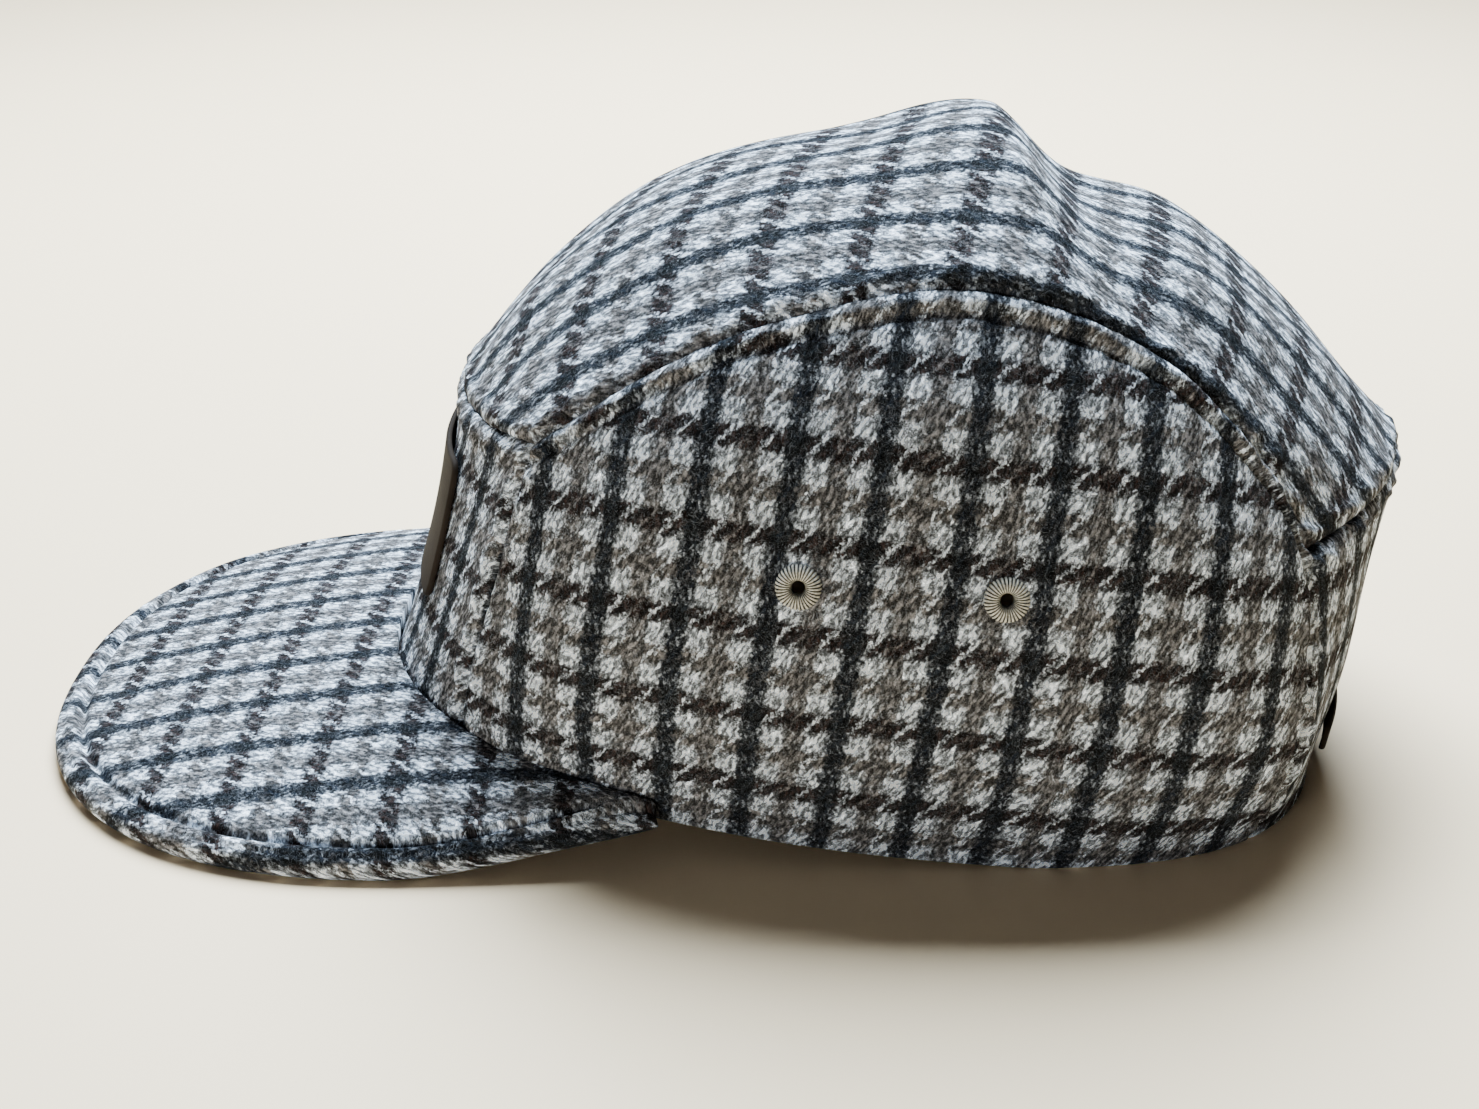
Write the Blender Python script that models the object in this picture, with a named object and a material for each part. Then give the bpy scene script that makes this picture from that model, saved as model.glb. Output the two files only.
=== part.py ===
"""Camp cap in brushed check wool: five crown panels, a short flat peak, a bare leather label, four
stitched eyelets, and a slim strap with a slide across the arched gap at the back.

Lengths are in metres. The hem stands on z = 0, the front faces -Y and the wearer's left is +X.
Surfaces are functions of two shares, u and v, each from 0 to 1. A side panel's u runs from front to
back and its v from the hem up. The front and back panels' u runs from the wearer's right to left and
their v up. The top panel's u runs from front to back and its v from right to left.
"""

from collections import namedtuple

import bmesh
import bpy
import numpy as np
from mathutils import Matrix

# Cloth
WALL = 0.0022
SEAM_GAP = 0.0004
CLEARANCE = 0.0003  # between a fitted piece and the piece that carries it

# Crown
CROWN_LENGTH = 0.2059  # front of the hem to the back corner
CROWN_HEIGHT = 0.125
TOP_WIDTH = 0.101  # across the top panel at its middle, seam to seam
SIDE_BULGE = 0.011
FRONT_DENT = 0.0037  # the label's panel sinks in above its foot
BACK_DENT = 0.0055
FRONT_SEAM_TURN = 33.0  # degrees round the hem from the front centre
BACK_SEAM_TURN = 128.0
FRONT_SEAM_BOW = (0.003, -0.001, 0.0)
BACK_SEAM_BOW = (0.004, 0.005, 0.0)
TOP_DROP_POWER = 2.2  # how flat the top panel stays before it drops to the seams

# Hem
HEM_WIDTH = 0.140
HEM_LENGTH = 0.190  # front centre to back centre
HEM_WIDEST = 0.62  # share of its length where it is widest
HEM_FRONT_POWER = 2.35
HEM_BACK_POWER = 3.0
HEM_LIFT = 0.013  # height of its front centre over the table
HEM_LIFT_END = 0.67  # share of its length where it comes down to the table
HEM_LIFT_POWER = 1.1

# Peak
PEAK_REACH = 0.0707  # in front of the hem
PEAK_FLARE = 0.0047  # beyond the hem's half width
PEAK_THICKNESS = 0.005
PEAK_WIDEST = 0.008  # behind the front of the hem
PEAK_POWER = 2.3
PEAK_TAPER_POWER = 1.4  # how late its sides draw in toward its rear corners
PEAK_ROOT_TURN = 62.4  # degrees round the hem where it ends
PEAK_SEAT = 0.0003  # its middle over the hem's edge, at the root
PEAK_LIFT = 0.0062  # of its rear corners over its front edge
PEAK_LIFT_START = 0.004  # behind the front of the hem
PEAK_CORNER_REACH = 0.0008  # flat cloth between the crown and the roll, at the rear corners
PEAK_CAMBER = 0.0015

# Label
LABEL_WIDTH = 0.050
LABEL_HEIGHT = 0.030
LABEL_THICKNESS = 0.0012
LABEL_RISE = 0.0215  # of its lower edge, up the panel from the hem
LABEL_CORNER = 0.003

# Eyelets
EYELET_DIAMETER = 0.0085
EYELET_HOLE = 0.003
EYELET_RAISE = 0.0009
EYELET_NECK = 0.0008  # thread round the hole, in the cloth

# Rear gap, strap and slide
OPENING_WIDTH = 0.056
OPENING_HEIGHT = 0.030
STRAP_WIDTH = 0.0065
STRAP_THICKNESS = 0.0012
STRAP_HEIGHT = 0.0140  # of its middle over the table
STRAP_LAP = 0.016  # beyond the gap on each side
STRAP_CORNER = 0.002
SLIDE_LENGTH = 0.009
SLIDE_WIRE = 0.0012
SLIDE_PLACE = -0.35  # share of the gap's half width, toward the wearer's right

ArchPoint = namedtuple("ArchPoint", "along out up")
# The seam between top and side panels, front corner to back corner at equal steps: shares of the
# crown's length, of the top's half width and of the crown's height.
ARCH = (
    ArchPoint(0.169, 0.94, 0.615),
    ArchPoint(0.219, 0.985, 0.674),
    ArchPoint(0.289, 1.00, 0.745),
    ArchPoint(0.372, 1.00, 0.805),
    ArchPoint(0.467, 1.00, 0.845),
    ArchPoint(0.551, 1.00, 0.857),
    ArchPoint(0.639, 1.015, 0.823),
    ArchPoint(0.718, 1.03, 0.755),
    ArchPoint(0.777, 1.06, 0.670),
    ArchPoint(0.820, 1.09, 0.577),
    ArchPoint(0.846, 1.12, 0.466),
)

CentrePoint = namedtuple("CentrePoint", "along up")
# The top panel's middle line, front edge to back edge, with the crest and the dip behind it.
CENTRE = (
    CentrePoint(0.079, 0.584),
    CentrePoint(0.159, 0.738),
    CentrePoint(0.254, 0.862),
    CentrePoint(0.363, 0.935),
    CentrePoint(0.473, 0.970),
    CentrePoint(0.588, 1.000),
    CentrePoint(0.669, 0.897),
    CentrePoint(0.776, 0.842),
    CentrePoint(0.896, 0.680),
    CentrePoint(1.000, 0.492),
)

EyeletPlace = namedtuple("EyeletPlace", "name along up")
EYELETS = (
    EyeletPlace("front", 0.380, 0.542),
    EyeletPlace("back", 0.562, 0.545),
)

SectionPoint = namedtuple("SectionPoint", "out turn")
# Round the peak's section, from the top of its root: share of the way out, and degrees of the roll.
PEAK_SECTION = (
    SectionPoint(0.0, 90),
    SectionPoint(0.25, 90),
    SectionPoint(0.5, 90),
    SectionPoint(0.75, 90),
    SectionPoint(1.0, 90),
    SectionPoint(1.0, 54),
    SectionPoint(1.0, 18),
    SectionPoint(1.0, -18),
    SectionPoint(1.0, -54),
    SectionPoint(1.0, -90),
    SectionPoint(0.5, -90),
    SectionPoint(0.0, -90),
)

# Where the cloth's inner side lies: the wall is set off toward a line inside the crown.
CORE_HEIGHT = 0.24
CORE_FRONT = 0.40
CORE_BACK = 0.60

# How finely the pieces are faceted
LENGTHWISE = 28
CROSSWISE = 16
UPWARD = 14
PEAK_COLUMNS = 64
LABEL_COLUMNS = 10
LABEL_ROWS = 7
STRAP_COLUMNS = 22
STRAP_ROWS = 3
EYELET_SIDES = 14
FINE = 201  # points along a curve that is measured
SHARP_ANGLE = 40.0  # degrees between faces, from which an edge is drawn sharp

FRONT_Y = (PEAK_REACH - CROWN_LENGTH) / 2  # front centre of the hem, with the whole cap centred
UP = np.array((0.0, 0.0, 1.0))


def spline(rows, t):
    """Smooth curve through the rows of a table at equal steps of t."""
    rows = np.array(rows)
    last = len(rows) - 1
    before = 2 * rows[0] - rows[1]
    after = 2 * rows[-1] - rows[-2]
    rows = np.vstack([before, rows, after])
    place = np.clip(np.asarray(t) * last, 0, last - 1e-9)
    first = place.astype(int)
    f = (place - first)[:, None]
    a, b, c, d = rows[first], rows[first + 1], rows[first + 2], rows[first + 3]
    bend = (c - a) * f + (2 * a - 5 * b + 4 * c - d) * f**2 + (3 * b - a - 3 * c + d) * f**3
    return b + bend / 2


def blend(a, b, t):
    return a + (b - a) * np.asarray(t)[..., None]


def mirrored(points):
    return points * (-1, 1, 1)


def arch(t):
    """The left arched seam, from its front corner to its back corner."""
    row = spline(ARCH, t)
    x = row[:, 1] * TOP_WIDTH / 2
    y = FRONT_Y + row[:, 0] * CROWN_LENGTH
    return np.stack([x, y, row[:, 2] * CROWN_HEIGHT], -1)


def centre(t):
    row = spline(CENTRE, t)
    y = FRONT_Y + row[:, 0] * CROWN_LENGTH
    return np.stack([0 * y, y, row[:, 1] * CROWN_HEIGHT], -1)


def hem(turn):
    """The hem, by degrees from its front centre round the left side to its back centre."""
    angle = np.radians(turn)
    c, s = np.cos(angle), np.sin(angle)
    power = np.where(c > 0, HEM_FRONT_POWER, HEM_BACK_POWER)
    reach = np.where(c > 0, HEM_WIDEST, 1 - HEM_WIDEST) * HEM_LENGTH
    x = HEM_WIDTH / 2 * np.sign(s) * np.abs(s) ** (2 / power)
    y = HEM_WIDEST * HEM_LENGTH - reach * np.sign(c) * np.abs(c) ** (2 / power)
    lift = np.clip(1 - y / (HEM_LIFT_END * HEM_LENGTH), 0, 1) ** HEM_LIFT_POWER
    return np.stack([x, FRONT_Y + y, HEM_LIFT * lift], -1)


def seam(low, high, bow, t):
    """From low to high, bowed in its middle."""
    t = np.asarray(t)
    return blend(low, high, t) + np.outer(4 * t * (1 - t), bow)


def front_seam(t):
    return seam(hem([FRONT_SEAM_TURN]), arch([0.0]), FRONT_SEAM_BOW, t)


def back_seam(t):
    return seam(hem([BACK_SEAM_TURN]), arch([1.0]), BACK_SEAM_BOW, t)


def inside_edges(bottom, top, start, end, u, v):
    """The smooth surface held by four edges: bottom and top run along u, start and end along v."""
    none, all_ = np.zeros_like(u), np.ones_like(u)
    ruled = blend(bottom(u), top(u), v) + blend(start(v), end(v), u)
    low = blend(bottom(none), bottom(all_), u)
    high = blend(top(none), top(all_), u)
    return ruled - blend(low, high, v)


def side_panel(u, v):
    def bottom(t):
        return hem(FRONT_SEAM_TURN + (BACK_SEAM_TURN - FRONT_SEAM_TURN) * t)

    points = inside_edges(bottom, arch, front_seam, back_seam, u, v)
    points[:, 0] += SIDE_BULGE * 4 * v * (1 - v) * (1 - np.abs(2 * u - 1) ** 3)
    return points


def top_panel(u, v):
    across = 2 * v - 1
    middle, edge = centre(u), arch(u)
    x = edge[:, 0] * across
    y = middle[:, 1] + (edge[:, 1] - middle[:, 1]) * across**2
    z = middle[:, 2] + (edge[:, 2] - middle[:, 2]) * np.abs(across) ** TOP_DROP_POWER
    return np.stack([x, y, z], -1)


def front_panel(u, v):
    def bottom(t):
        return hem(FRONT_SEAM_TURN * (2 * t - 1))

    def top(t):
        return top_panel(np.zeros_like(t), t)

    def right(t):
        return mirrored(front_seam(t))

    points = inside_edges(bottom, top, right, front_seam, u, v)
    points[:, 1] += FRONT_DENT * (1 - (2 * u - 1) ** 2) * 4 * v * (1 - v)
    return points


def back_panel(u, v):
    def bottom(t):
        return hem(180 + (BACK_SEAM_TURN - 180) * (2 * t - 1))

    def top(t):
        return top_panel(np.ones_like(t), t)

    def right(t):
        return mirrored(back_seam(t))

    points = inside_edges(bottom, top, right, back_seam, u, v)
    points[:, 1] -= BACK_DENT * (1 - (2 * u - 1) ** 4) * 4 * v * (1 - v)
    return points


def inward(points):
    """Directions into the crown: level near the hem, and toward its core higher up."""
    core_front = FRONT_Y + CORE_FRONT * CROWN_LENGTH
    core_back = FRONT_Y + CORE_BACK * CROWN_LENGTH
    x, y, z = points[..., 0], points[..., 1], points[..., 2]
    to_core = np.clip(y, core_front, core_back) - y
    down = -np.maximum(z - CORE_HEIGHT * CROWN_HEIGHT, 0)
    way = np.stack([-x, to_core, down], -1)
    return way / np.linalg.norm(way, axis=-1, keepdims=True)


def net(surface, us, vs):
    """Points of a surface at each pair of shares, as an array of columns of points."""
    u, v = np.meshgrid(us, vs, indexing="ij")
    return surface(u.ravel(), v.ravel()).reshape(len(us), len(vs), 3)


def length_of(points):
    return np.linalg.norm(np.diff(points, axis=0), axis=1).sum()


def outward_normals(points):
    """Unit normals of a net, on the side away from the crown's core."""
    normal = np.cross(np.gradient(points, axis=0), np.gradient(points, axis=1))
    facing = np.sign((normal * inward(points)).sum(-1, keepdims=True))
    return -normal * facing / np.linalg.norm(normal, axis=-1, keepdims=True)


def cleared(t, room, at_start, at_end):
    """Shares with a seam's room taken off one or both ends."""
    return at_start * room + t * (1 - (at_start + at_end) * room)


def panel_net(surface, columns, rows, seams):
    """A panel's outer face, half a seam gap clear of each edge that is sewn to another panel.

    seams says which edges those are: start and end along u, then start and end along v.
    """
    t = np.linspace(0, 1, FINE)
    half = np.full(FINE, 0.5)
    room_u = SEAM_GAP / 2 / length_of(surface(t, half))
    room_v = SEAM_GAP / 2 / length_of(surface(half, t))
    us = cleared(np.linspace(0, 1, columns + 1), room_u, seams[0], seams[1])
    vs = cleared(np.linspace(0, 1, rows + 1), room_v, seams[2], seams[3])
    return net(surface, us, vs)


def share_at(surface, x, v):
    """The share u at which a front or back panel reaches x, for each pair of x and v."""
    t = np.linspace(0, 1, FINE)
    return np.array([np.interp(a, surface(t, np.full(FINE, b))[:, 0], t) for a, b in zip(x, v)])


def rounded(x, y, half_width, half_height, corner):
    """Points of a rectangle's grid, with those in its corners drawn in to a round corner."""
    past_x = np.maximum(np.abs(x) - (half_width - corner), 0)
    past_y = np.maximum(np.abs(y) - (half_height - corner), 0)
    most = np.maximum(past_x, past_y)
    spread = np.hypot(past_x, past_y)
    pull = np.divide(most, spread, out=np.ones_like(most), where=spread > 0)
    new_x = np.sign(x) * (np.abs(x) - past_x * (1 - pull))
    new_y = np.sign(y) * (np.abs(y) - past_y * (1 - pull))
    return new_x, new_y


def corner_steps(half, corner, count):
    """Even steps from -half to half, with one on each side where the round corner starts."""
    inner = np.linspace(-(half - corner), half - corner, count - 1)
    return np.concatenate([[-half], inner, [half]])


def laid_net(surface, width, height, middle, corner, columns, rows):
    """A round-cornered patch on a panel: its points on the panel's outer face.

    middle is the patch's middle, up the panel from the hem.
    """
    t = np.linspace(0, 1, FINE)
    panel_height = length_of(surface(np.full(FINE, 0.5), t))
    xs = corner_steps(width / 2, corner, columns)
    ys = corner_steps(height / 2, corner, rows)
    x, y = np.meshgrid(xs, ys, indexing="ij")
    x, y = rounded(x, y, width / 2, height / 2, corner)
    v = ((y + middle) / panel_height).ravel()
    u = share_at(surface, x.ravel(), v)
    return surface(u, v).reshape(len(xs), len(ys), 3)


def crown_foot(turn, height):
    """The crown's outer face round the hem, by degrees from the front centre and height over it."""
    in_front = np.abs(turn) <= FRONT_SEAM_TURN
    front_u = np.clip((turn / FRONT_SEAM_TURN + 1) / 2, 0, 1)
    side_u = (np.abs(turn) - FRONT_SEAM_TURN) / (BACK_SEAM_TURN - FRONT_SEAM_TURN)
    side_u = np.clip(side_u, 0, 1)
    rise = np.full_like(turn, max(height, 0) / (ARCH[0].up * CROWN_HEIGHT - HEM_LIFT))
    side = side_panel(side_u, rise)
    side[:, 0] *= np.sign(turn)
    return np.where(in_front[:, None], front_panel(front_u, rise), side)


def evenly(points, count):
    """The curve's points again, at even steps along it."""
    steps = np.linalg.norm(np.diff(points, axis=0), axis=1)
    way = np.concatenate([[0], np.cumsum(steps)])
    at = np.linspace(0, way[-1], count)
    return np.stack([np.interp(at, way, points[:, axis]) for axis in range(3)], -1)


def clear_of(points):
    """A level curve set off outward by the clearance."""
    along = np.gradient(points, axis=0)
    out = np.stack([along[:, 1], -along[:, 0], 0 * along[:, 0]], -1)
    return points + CLEARANCE * out / np.linalg.norm(out, axis=1, keepdims=True)


def peak_root(height):
    """The peak's root along the crown, from the right end to the left, clear of the cloth."""
    turn = np.linspace(-PEAK_ROOT_TURN, PEAK_ROOT_TURN, FINE)
    foot = crown_foot(turn, height)
    foot[:, 2] = hem(turn)[:, 2] + height
    return evenly(clear_of(foot), PEAK_COLUMNS + 1)


def smooth_step(t):
    t = np.clip(t, 0, 1)
    return t**2 * (3 - 2 * t)


def peak_edge():
    """The peak's outer edge at mid thickness, from the right rear corner to the left."""
    half = PEAK_THICKNESS / 2
    half_width = HEM_WIDTH / 2 + PEAK_FLARE
    widest_y = FRONT_Y + PEAK_WIDEST
    angle = np.linspace(-np.pi / 2, np.pi / 2, FINE)
    x = half_width * np.sign(angle) * np.abs(np.sin(angle)) ** (2 / PEAK_POWER)
    y = widest_y - (PEAK_REACH + PEAK_WIDEST) * np.cos(angle) ** (2 / PEAK_POWER)
    end_x, end_y, _ = peak_root(PEAK_SEAT + half)[-1]
    end_x += half + PEAK_CORNER_REACH
    t = np.linspace(0, 1, FINE)[1:]
    side_x = half_width + (end_x - half_width) * t**PEAK_TAPER_POWER
    side_y = widest_y + (end_y - widest_y) * t
    x = np.concatenate([-side_x[::-1], x, side_x])
    y = np.concatenate([side_y[::-1], y, side_y])
    lift_y = FRONT_Y + PEAK_LIFT_START
    z = half + PEAK_LIFT * smooth_step((y - lift_y) / (end_y - lift_y))
    return evenly(np.stack([x, y, z], -1), PEAK_COLUMNS + 1)


def peak_rings():
    """The peak's section at each column, from the right rear corner to the left."""
    half = PEAK_THICKNESS / 2
    root_top, root_foot = peak_root(PEAK_SEAT + half), peak_root(PEAK_SEAT - half)
    root_top[:, 2] -= half
    root_foot[:, 2] += half
    edge = peak_edge()
    out = edge - peak_root(0)
    out[:, 2] = 0
    out /= np.linalg.norm(out, axis=1, keepdims=True)
    roll = edge - half * out
    rings = []
    for point in PEAK_SECTION:
        turn = np.radians(point.turn)
        root = root_top if point.turn > 0 else root_foot
        ring = root + (roll - root) * point.out
        ring += half * (np.cos(turn) * out + np.sin(turn) * UP)
        ring[:, 2] += PEAK_CAMBER * 4 * point.out * (1 - point.out)
        rings.append(ring)
    rings.append(peak_root(0))  # the root's face follows the crown halfway down
    return np.stack(rings, 1)


def grid_mesh(columns, rows):
    """A flat grid, one metre square, of columns and rows of vertices."""
    bm = bmesh.new()
    bmesh.ops.create_grid(bm, x_segments=columns - 1, y_segments=rows - 1, size=0.5)
    return bm


def place_of(vertex, columns, rows):
    """The column and row of a vertex of that grid."""
    column = round((vertex.co.x + 0.5) * (columns - 1))
    row = round((vertex.co.y + 0.5) * (rows - 1))
    return column, row


def finished(bm, name, material):
    """The mesh's object, facing out, smooth but for its sharp edges."""
    bmesh.ops.recalc_face_normals(bm, faces=bm.faces)
    if bm.calc_volume(signed=True) < 0:
        bmesh.ops.reverse_faces(bm, faces=bm.faces)
    mesh = bpy.data.meshes.new(name)
    bm.to_mesh(mesh)
    bm.free()
    mesh.materials.append(material)
    mesh.shade_smooth()
    mesh.set_sharp_from_angle(angle=np.radians(SHARP_ANGLE))
    obj = bpy.data.objects.new(name, mesh)
    bpy.context.scene.collection.objects.link(obj)
    return obj


def wall(name, outer, inner, material):
    """A sheet of cloth or leather between two nets of points."""
    columns, rows = outer.shape[:2]
    bm = grid_mesh(columns, rows)
    made = bmesh.ops.extrude_face_region(bm, geom=bm.faces[:], use_keep_orig=True)["geom"]
    far = {item for item in made if isinstance(item, bmesh.types.BMVert)}
    for vertex in bm.verts:
        points = inner if vertex in far else outer
        vertex.co = points[place_of(vertex, columns, rows)]
    return finished(bm, name, material)


def tube(name, rings, material, closed=False):
    """A body from sections, each a closed ring; closed joins the last section to the first."""
    rings = np.concatenate([rings, rings[:, :1]], 1)
    if closed:
        rings = np.concatenate([rings, rings[:1]], 0)
    columns, rows = rings.shape[:2]
    bm = grid_mesh(columns, rows)
    for vertex in bm.verts:
        vertex.co = rings[place_of(vertex, columns, rows)]
    bmesh.ops.remove_doubles(bm, verts=bm.verts, dist=1e-6)
    bmesh.ops.holes_fill(bm, edges=[edge for edge in bm.edges if edge.is_boundary])
    return finished(bm, name, material)


def cut(obj, cutter):
    """Cuts the object with another, which stays hidden."""
    cutter.hide_render = True
    cutter.display_type = "WIRE"
    boolean = obj.modifiers.new(cutter.name, "BOOLEAN")
    boolean.operation = "DIFFERENCE"
    boolean.object = cutter


def material_of(name, colour, roughness, metallic=0.0):
    material = bpy.data.materials.new(name)
    material.use_nodes = True
    shader = material.node_tree.nodes["Principled BSDF"]
    shader.inputs["Base Color"].default_value = (*colour, 1.0)
    shader.inputs["Roughness"].default_value = roughness
    shader.inputs["Metallic"].default_value = metallic
    return material


def cloth_panel(name, points, material):
    return wall(name, points, points + WALL * inward(points), material)


def crown_panels(wool):
    """The five panels, by name."""
    top = panel_net(top_panel, LENGTHWISE, CROSSWISE, (1, 1, 1, 1))
    front = panel_net(front_panel, CROSSWISE, UPWARD, (1, 1, 0, 1))
    back = panel_net(back_panel, CROSSWISE, UPWARD, (1, 1, 0, 1))
    side = panel_net(side_panel, LENGTHWISE, UPWARD, (1, 1, 0, 1))
    nets = {
        "top_panel": top,
        "front_panel": front,
        "back_panel": back,
        "side_panel_left": side,
        "side_panel_right": mirrored(side),
    }
    return {name: cloth_panel(name, points, wool) for name, points in nets.items()}


def opening_cutter(material):
    """An arched block through the middle of the back panel's lower edge."""
    turn = np.linspace(0, np.pi, 2 * CROSSWISE + 1)
    x = OPENING_WIDTH / 2 * np.cos(turn)
    z = OPENING_HEIGHT * np.sin(turn)
    below_hem = -OPENING_HEIGHT / 4
    x = np.concatenate([x[:1], x, x[-1:]])
    z = np.concatenate([[below_hem], z, [below_hem]])
    back = hem([180.0])[0, 1]
    reach = OPENING_HEIGHT  # past the panel on each side
    near = np.stack([x, np.full_like(x, back - reach), z], -1)
    far = np.stack([x, np.full_like(x, back + reach), z], -1)
    return tube("opening_cutter", np.stack([near, far]), material)


def label(leather):
    middle = LABEL_RISE + LABEL_HEIGHT / 2
    facets = LABEL_COLUMNS, LABEL_ROWS
    face = laid_net(front_panel, LABEL_WIDTH, LABEL_HEIGHT, middle, LABEL_CORNER, *facets)
    out = outward_normals(face)
    far = CLEARANCE + LABEL_THICKNESS
    return wall("front_label", face + far * out, face + CLEARANCE * out, leather)


def strap_net():
    width = OPENING_WIDTH + 2 * STRAP_LAP
    facets = STRAP_COLUMNS, STRAP_ROWS
    return laid_net(back_panel, width, STRAP_WIDTH, STRAP_HEIGHT, STRAP_CORNER, *facets)


def strap(leather):
    face = strap_net()
    out = outward_normals(face)
    far = CLEARANCE + STRAP_THICKNESS
    return wall("rear_strap", face + far * out, face + CLEARANCE * out, leather)


def slide(metal):
    """A plain frame round the strap, inside the gap."""
    face = strap_net()
    line = face.mean(axis=1)
    column = np.abs(line[:, 0] - SLIDE_PLACE * OPENING_WIDTH / 2).argmin()
    along = line[column + 1] - line[column - 1]
    along /= np.linalg.norm(along)
    normal = outward_normals(face).mean(axis=1)[column]
    rise = np.cross(along, normal)
    rise /= np.linalg.norm(rise)
    normal = np.cross(rise, along)
    middle = line[column] + (CLEARANCE + STRAP_THICKNESS / 2) * normal
    inner_deep = STRAP_THICKNESS / 2 + CLEARANCE
    inner_high = STRAP_WIDTH / 2 + CLEARANCE
    rings = []
    for deep, high in ((1, 1), (-1, 1), (-1, -1), (1, -1)):
        ring = []
        for wire, end in ((0, -1), (1, -1), (1, 1), (0, 1)):
            point = middle + deep * (inner_deep + wire * SLIDE_WIRE) * normal
            point = point + high * (inner_high + wire * SLIDE_WIRE) * rise
            ring.append(point + end * SLIDE_LENGTH / 2 * along)
        rings.append(ring)
    return tube("strap_slide", np.array(rings), metal, closed=True)


def eyelet_frame(place, side):
    """Where an eyelet sits: its middle on the panel's outer face, and the way out of the cloth."""
    around = 0.5 / LENGTHWISE * np.array([-1, 0, 1])
    face = net(side_panel, place.along + around, place.up + around)
    middle = face[1, 1]
    out = outward_normals(face)[1, 1]
    flip = np.array((side, 1, 1))
    return middle * flip, out * flip


def standing_on(middle, out):
    """The matrix that carries +Z to the way out and the origin to the middle."""
    right = np.cross(UP, out)
    right /= np.linalg.norm(right)
    matrix = Matrix.Identity(4)
    matrix.col[0][:3] = right
    matrix.col[1][:3] = np.cross(out, right)
    matrix.col[2][:3] = out
    matrix.col[3][:3] = middle
    return matrix


def eyelet_mesh(thread):
    """A thread-wrapped ring through the cloth: a flange on each side and a neck between them."""
    hole = EYELET_HOLE / 2
    neck = hole + EYELET_NECK
    rim = EYELET_DIAMETER / 2
    low = -WALL - CLEARANCE
    profile = (
        (hole, low - EYELET_RAISE / 2),
        (rim - EYELET_RAISE, low - EYELET_RAISE / 2),
        (rim - EYELET_RAISE, low),
        (neck, low),
        (neck, CLEARANCE),
        (rim, CLEARANCE),
        (rim, CLEARANCE + EYELET_RAISE / 2),
        ((rim + hole) / 2, CLEARANCE + EYELET_RAISE),
        (hole, CLEARANCE + EYELET_RAISE / 2),
    )
    turns = np.linspace(0, 2 * np.pi, EYELET_SIDES, endpoint=False)
    rings = [[(r * np.cos(turn), r * np.sin(turn), z) for r, z in profile] for turn in turns]
    return tube("eyelet", np.array(rings), thread, closed=True)


def hole_cutter(name, matrix, material):
    """A cylinder through the cloth and well past both its faces."""
    bm = bmesh.new()
    radius = EYELET_HOLE / 2 + EYELET_NECK + CLEARANCE
    bmesh.ops.create_cone(
        bm,
        cap_ends=True,
        segments=EYELET_SIDES,
        radius1=radius,
        radius2=radius,
        depth=6 * WALL,
    )
    cutter = finished(bm, name, material)
    cutter.matrix_world = matrix
    return cutter


def eyelets(panels, thread):
    """Two eyelets in each side panel, sharing one mesh."""
    pattern = eyelet_mesh(thread)
    made = []
    for side, word in ((1, "left"), (-1, "right")):
        for place in EYELETS:
            matrix = standing_on(*eyelet_frame(place, side))
            name = f"{word}_{place.name}"
            ring = bpy.data.objects.new(f"eyelet_{name}", pattern.data)
            bpy.context.scene.collection.objects.link(ring)
            ring.matrix_world = matrix
            cut(panels[f"side_panel_{word}"], hole_cutter(f"hole_{name}", matrix, thread))
            made.append(ring)
    bpy.data.objects.remove(pattern)
    return made


def main():
    for old in list(bpy.data.objects):
        bpy.data.objects.remove(old)
    wool = material_of("check_wool", (0.33, 0.31, 0.31), 0.95)
    leather = material_of("brown_leather", (0.075, 0.056, 0.043), 0.5)
    thread = material_of("eyelet_thread", (0.38, 0.35, 0.28), 0.7)
    metal = material_of("dark_metal", (0.12, 0.11, 0.10), 0.35, 1.0)
    panels = crown_panels(wool)
    cut(panels["back_panel"], opening_cutter(wool))
    pieces = list(panels.values())
    pieces += [tube("peak", peak_rings(), wool), label(leather), strap(leather), slide(metal)]
    pieces += eyelets(panels, thread)
    cap = bpy.data.objects.new("camp_cap", None)
    bpy.context.scene.collection.objects.link(cap)
    for piece in pieces:
        piece.parent = cap


if __name__ == "__main__":
    main()
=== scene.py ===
"""Camp cap, dressed: brushed check wool sewn in five panels over a short rolled peak, a bare leather
label, thread-wrapped eyelets, and a strap with a slide across the arched gap at the back.

Lengths are in metres. The hem stands on z = 0, the front faces -Y and the wearer's left is +X.
Surfaces are functions of two shares, u and v, each from 0 to 1. A side panel's u runs from front to
back and its v from the hem up. The front and back panels' u runs from the wearer's right to left and
their v up. The top panel's u runs from front to back and its v from right to left.
"""

from collections import namedtuple

import bmesh
import bpy
import numpy as np
from bpy.props import FloatProperty, FloatVectorProperty, IntProperty, PointerProperty
from mathutils import Matrix, Vector


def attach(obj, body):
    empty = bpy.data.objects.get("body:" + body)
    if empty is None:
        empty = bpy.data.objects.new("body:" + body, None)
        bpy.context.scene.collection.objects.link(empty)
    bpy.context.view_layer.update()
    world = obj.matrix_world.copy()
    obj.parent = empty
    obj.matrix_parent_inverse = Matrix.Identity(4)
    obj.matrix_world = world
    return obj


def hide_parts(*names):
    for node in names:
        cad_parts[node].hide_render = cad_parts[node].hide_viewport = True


bl_info = {
    "name": "Camp cap",
    "version": (1, 0, 0),
    "blender": (4, 5, 0),
    "location": "View3D > Sidebar > Camp cap",
    "description": "Dresses a five-panel camp cap in brushed check wool",
    "category": "Mesh",
}

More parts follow.
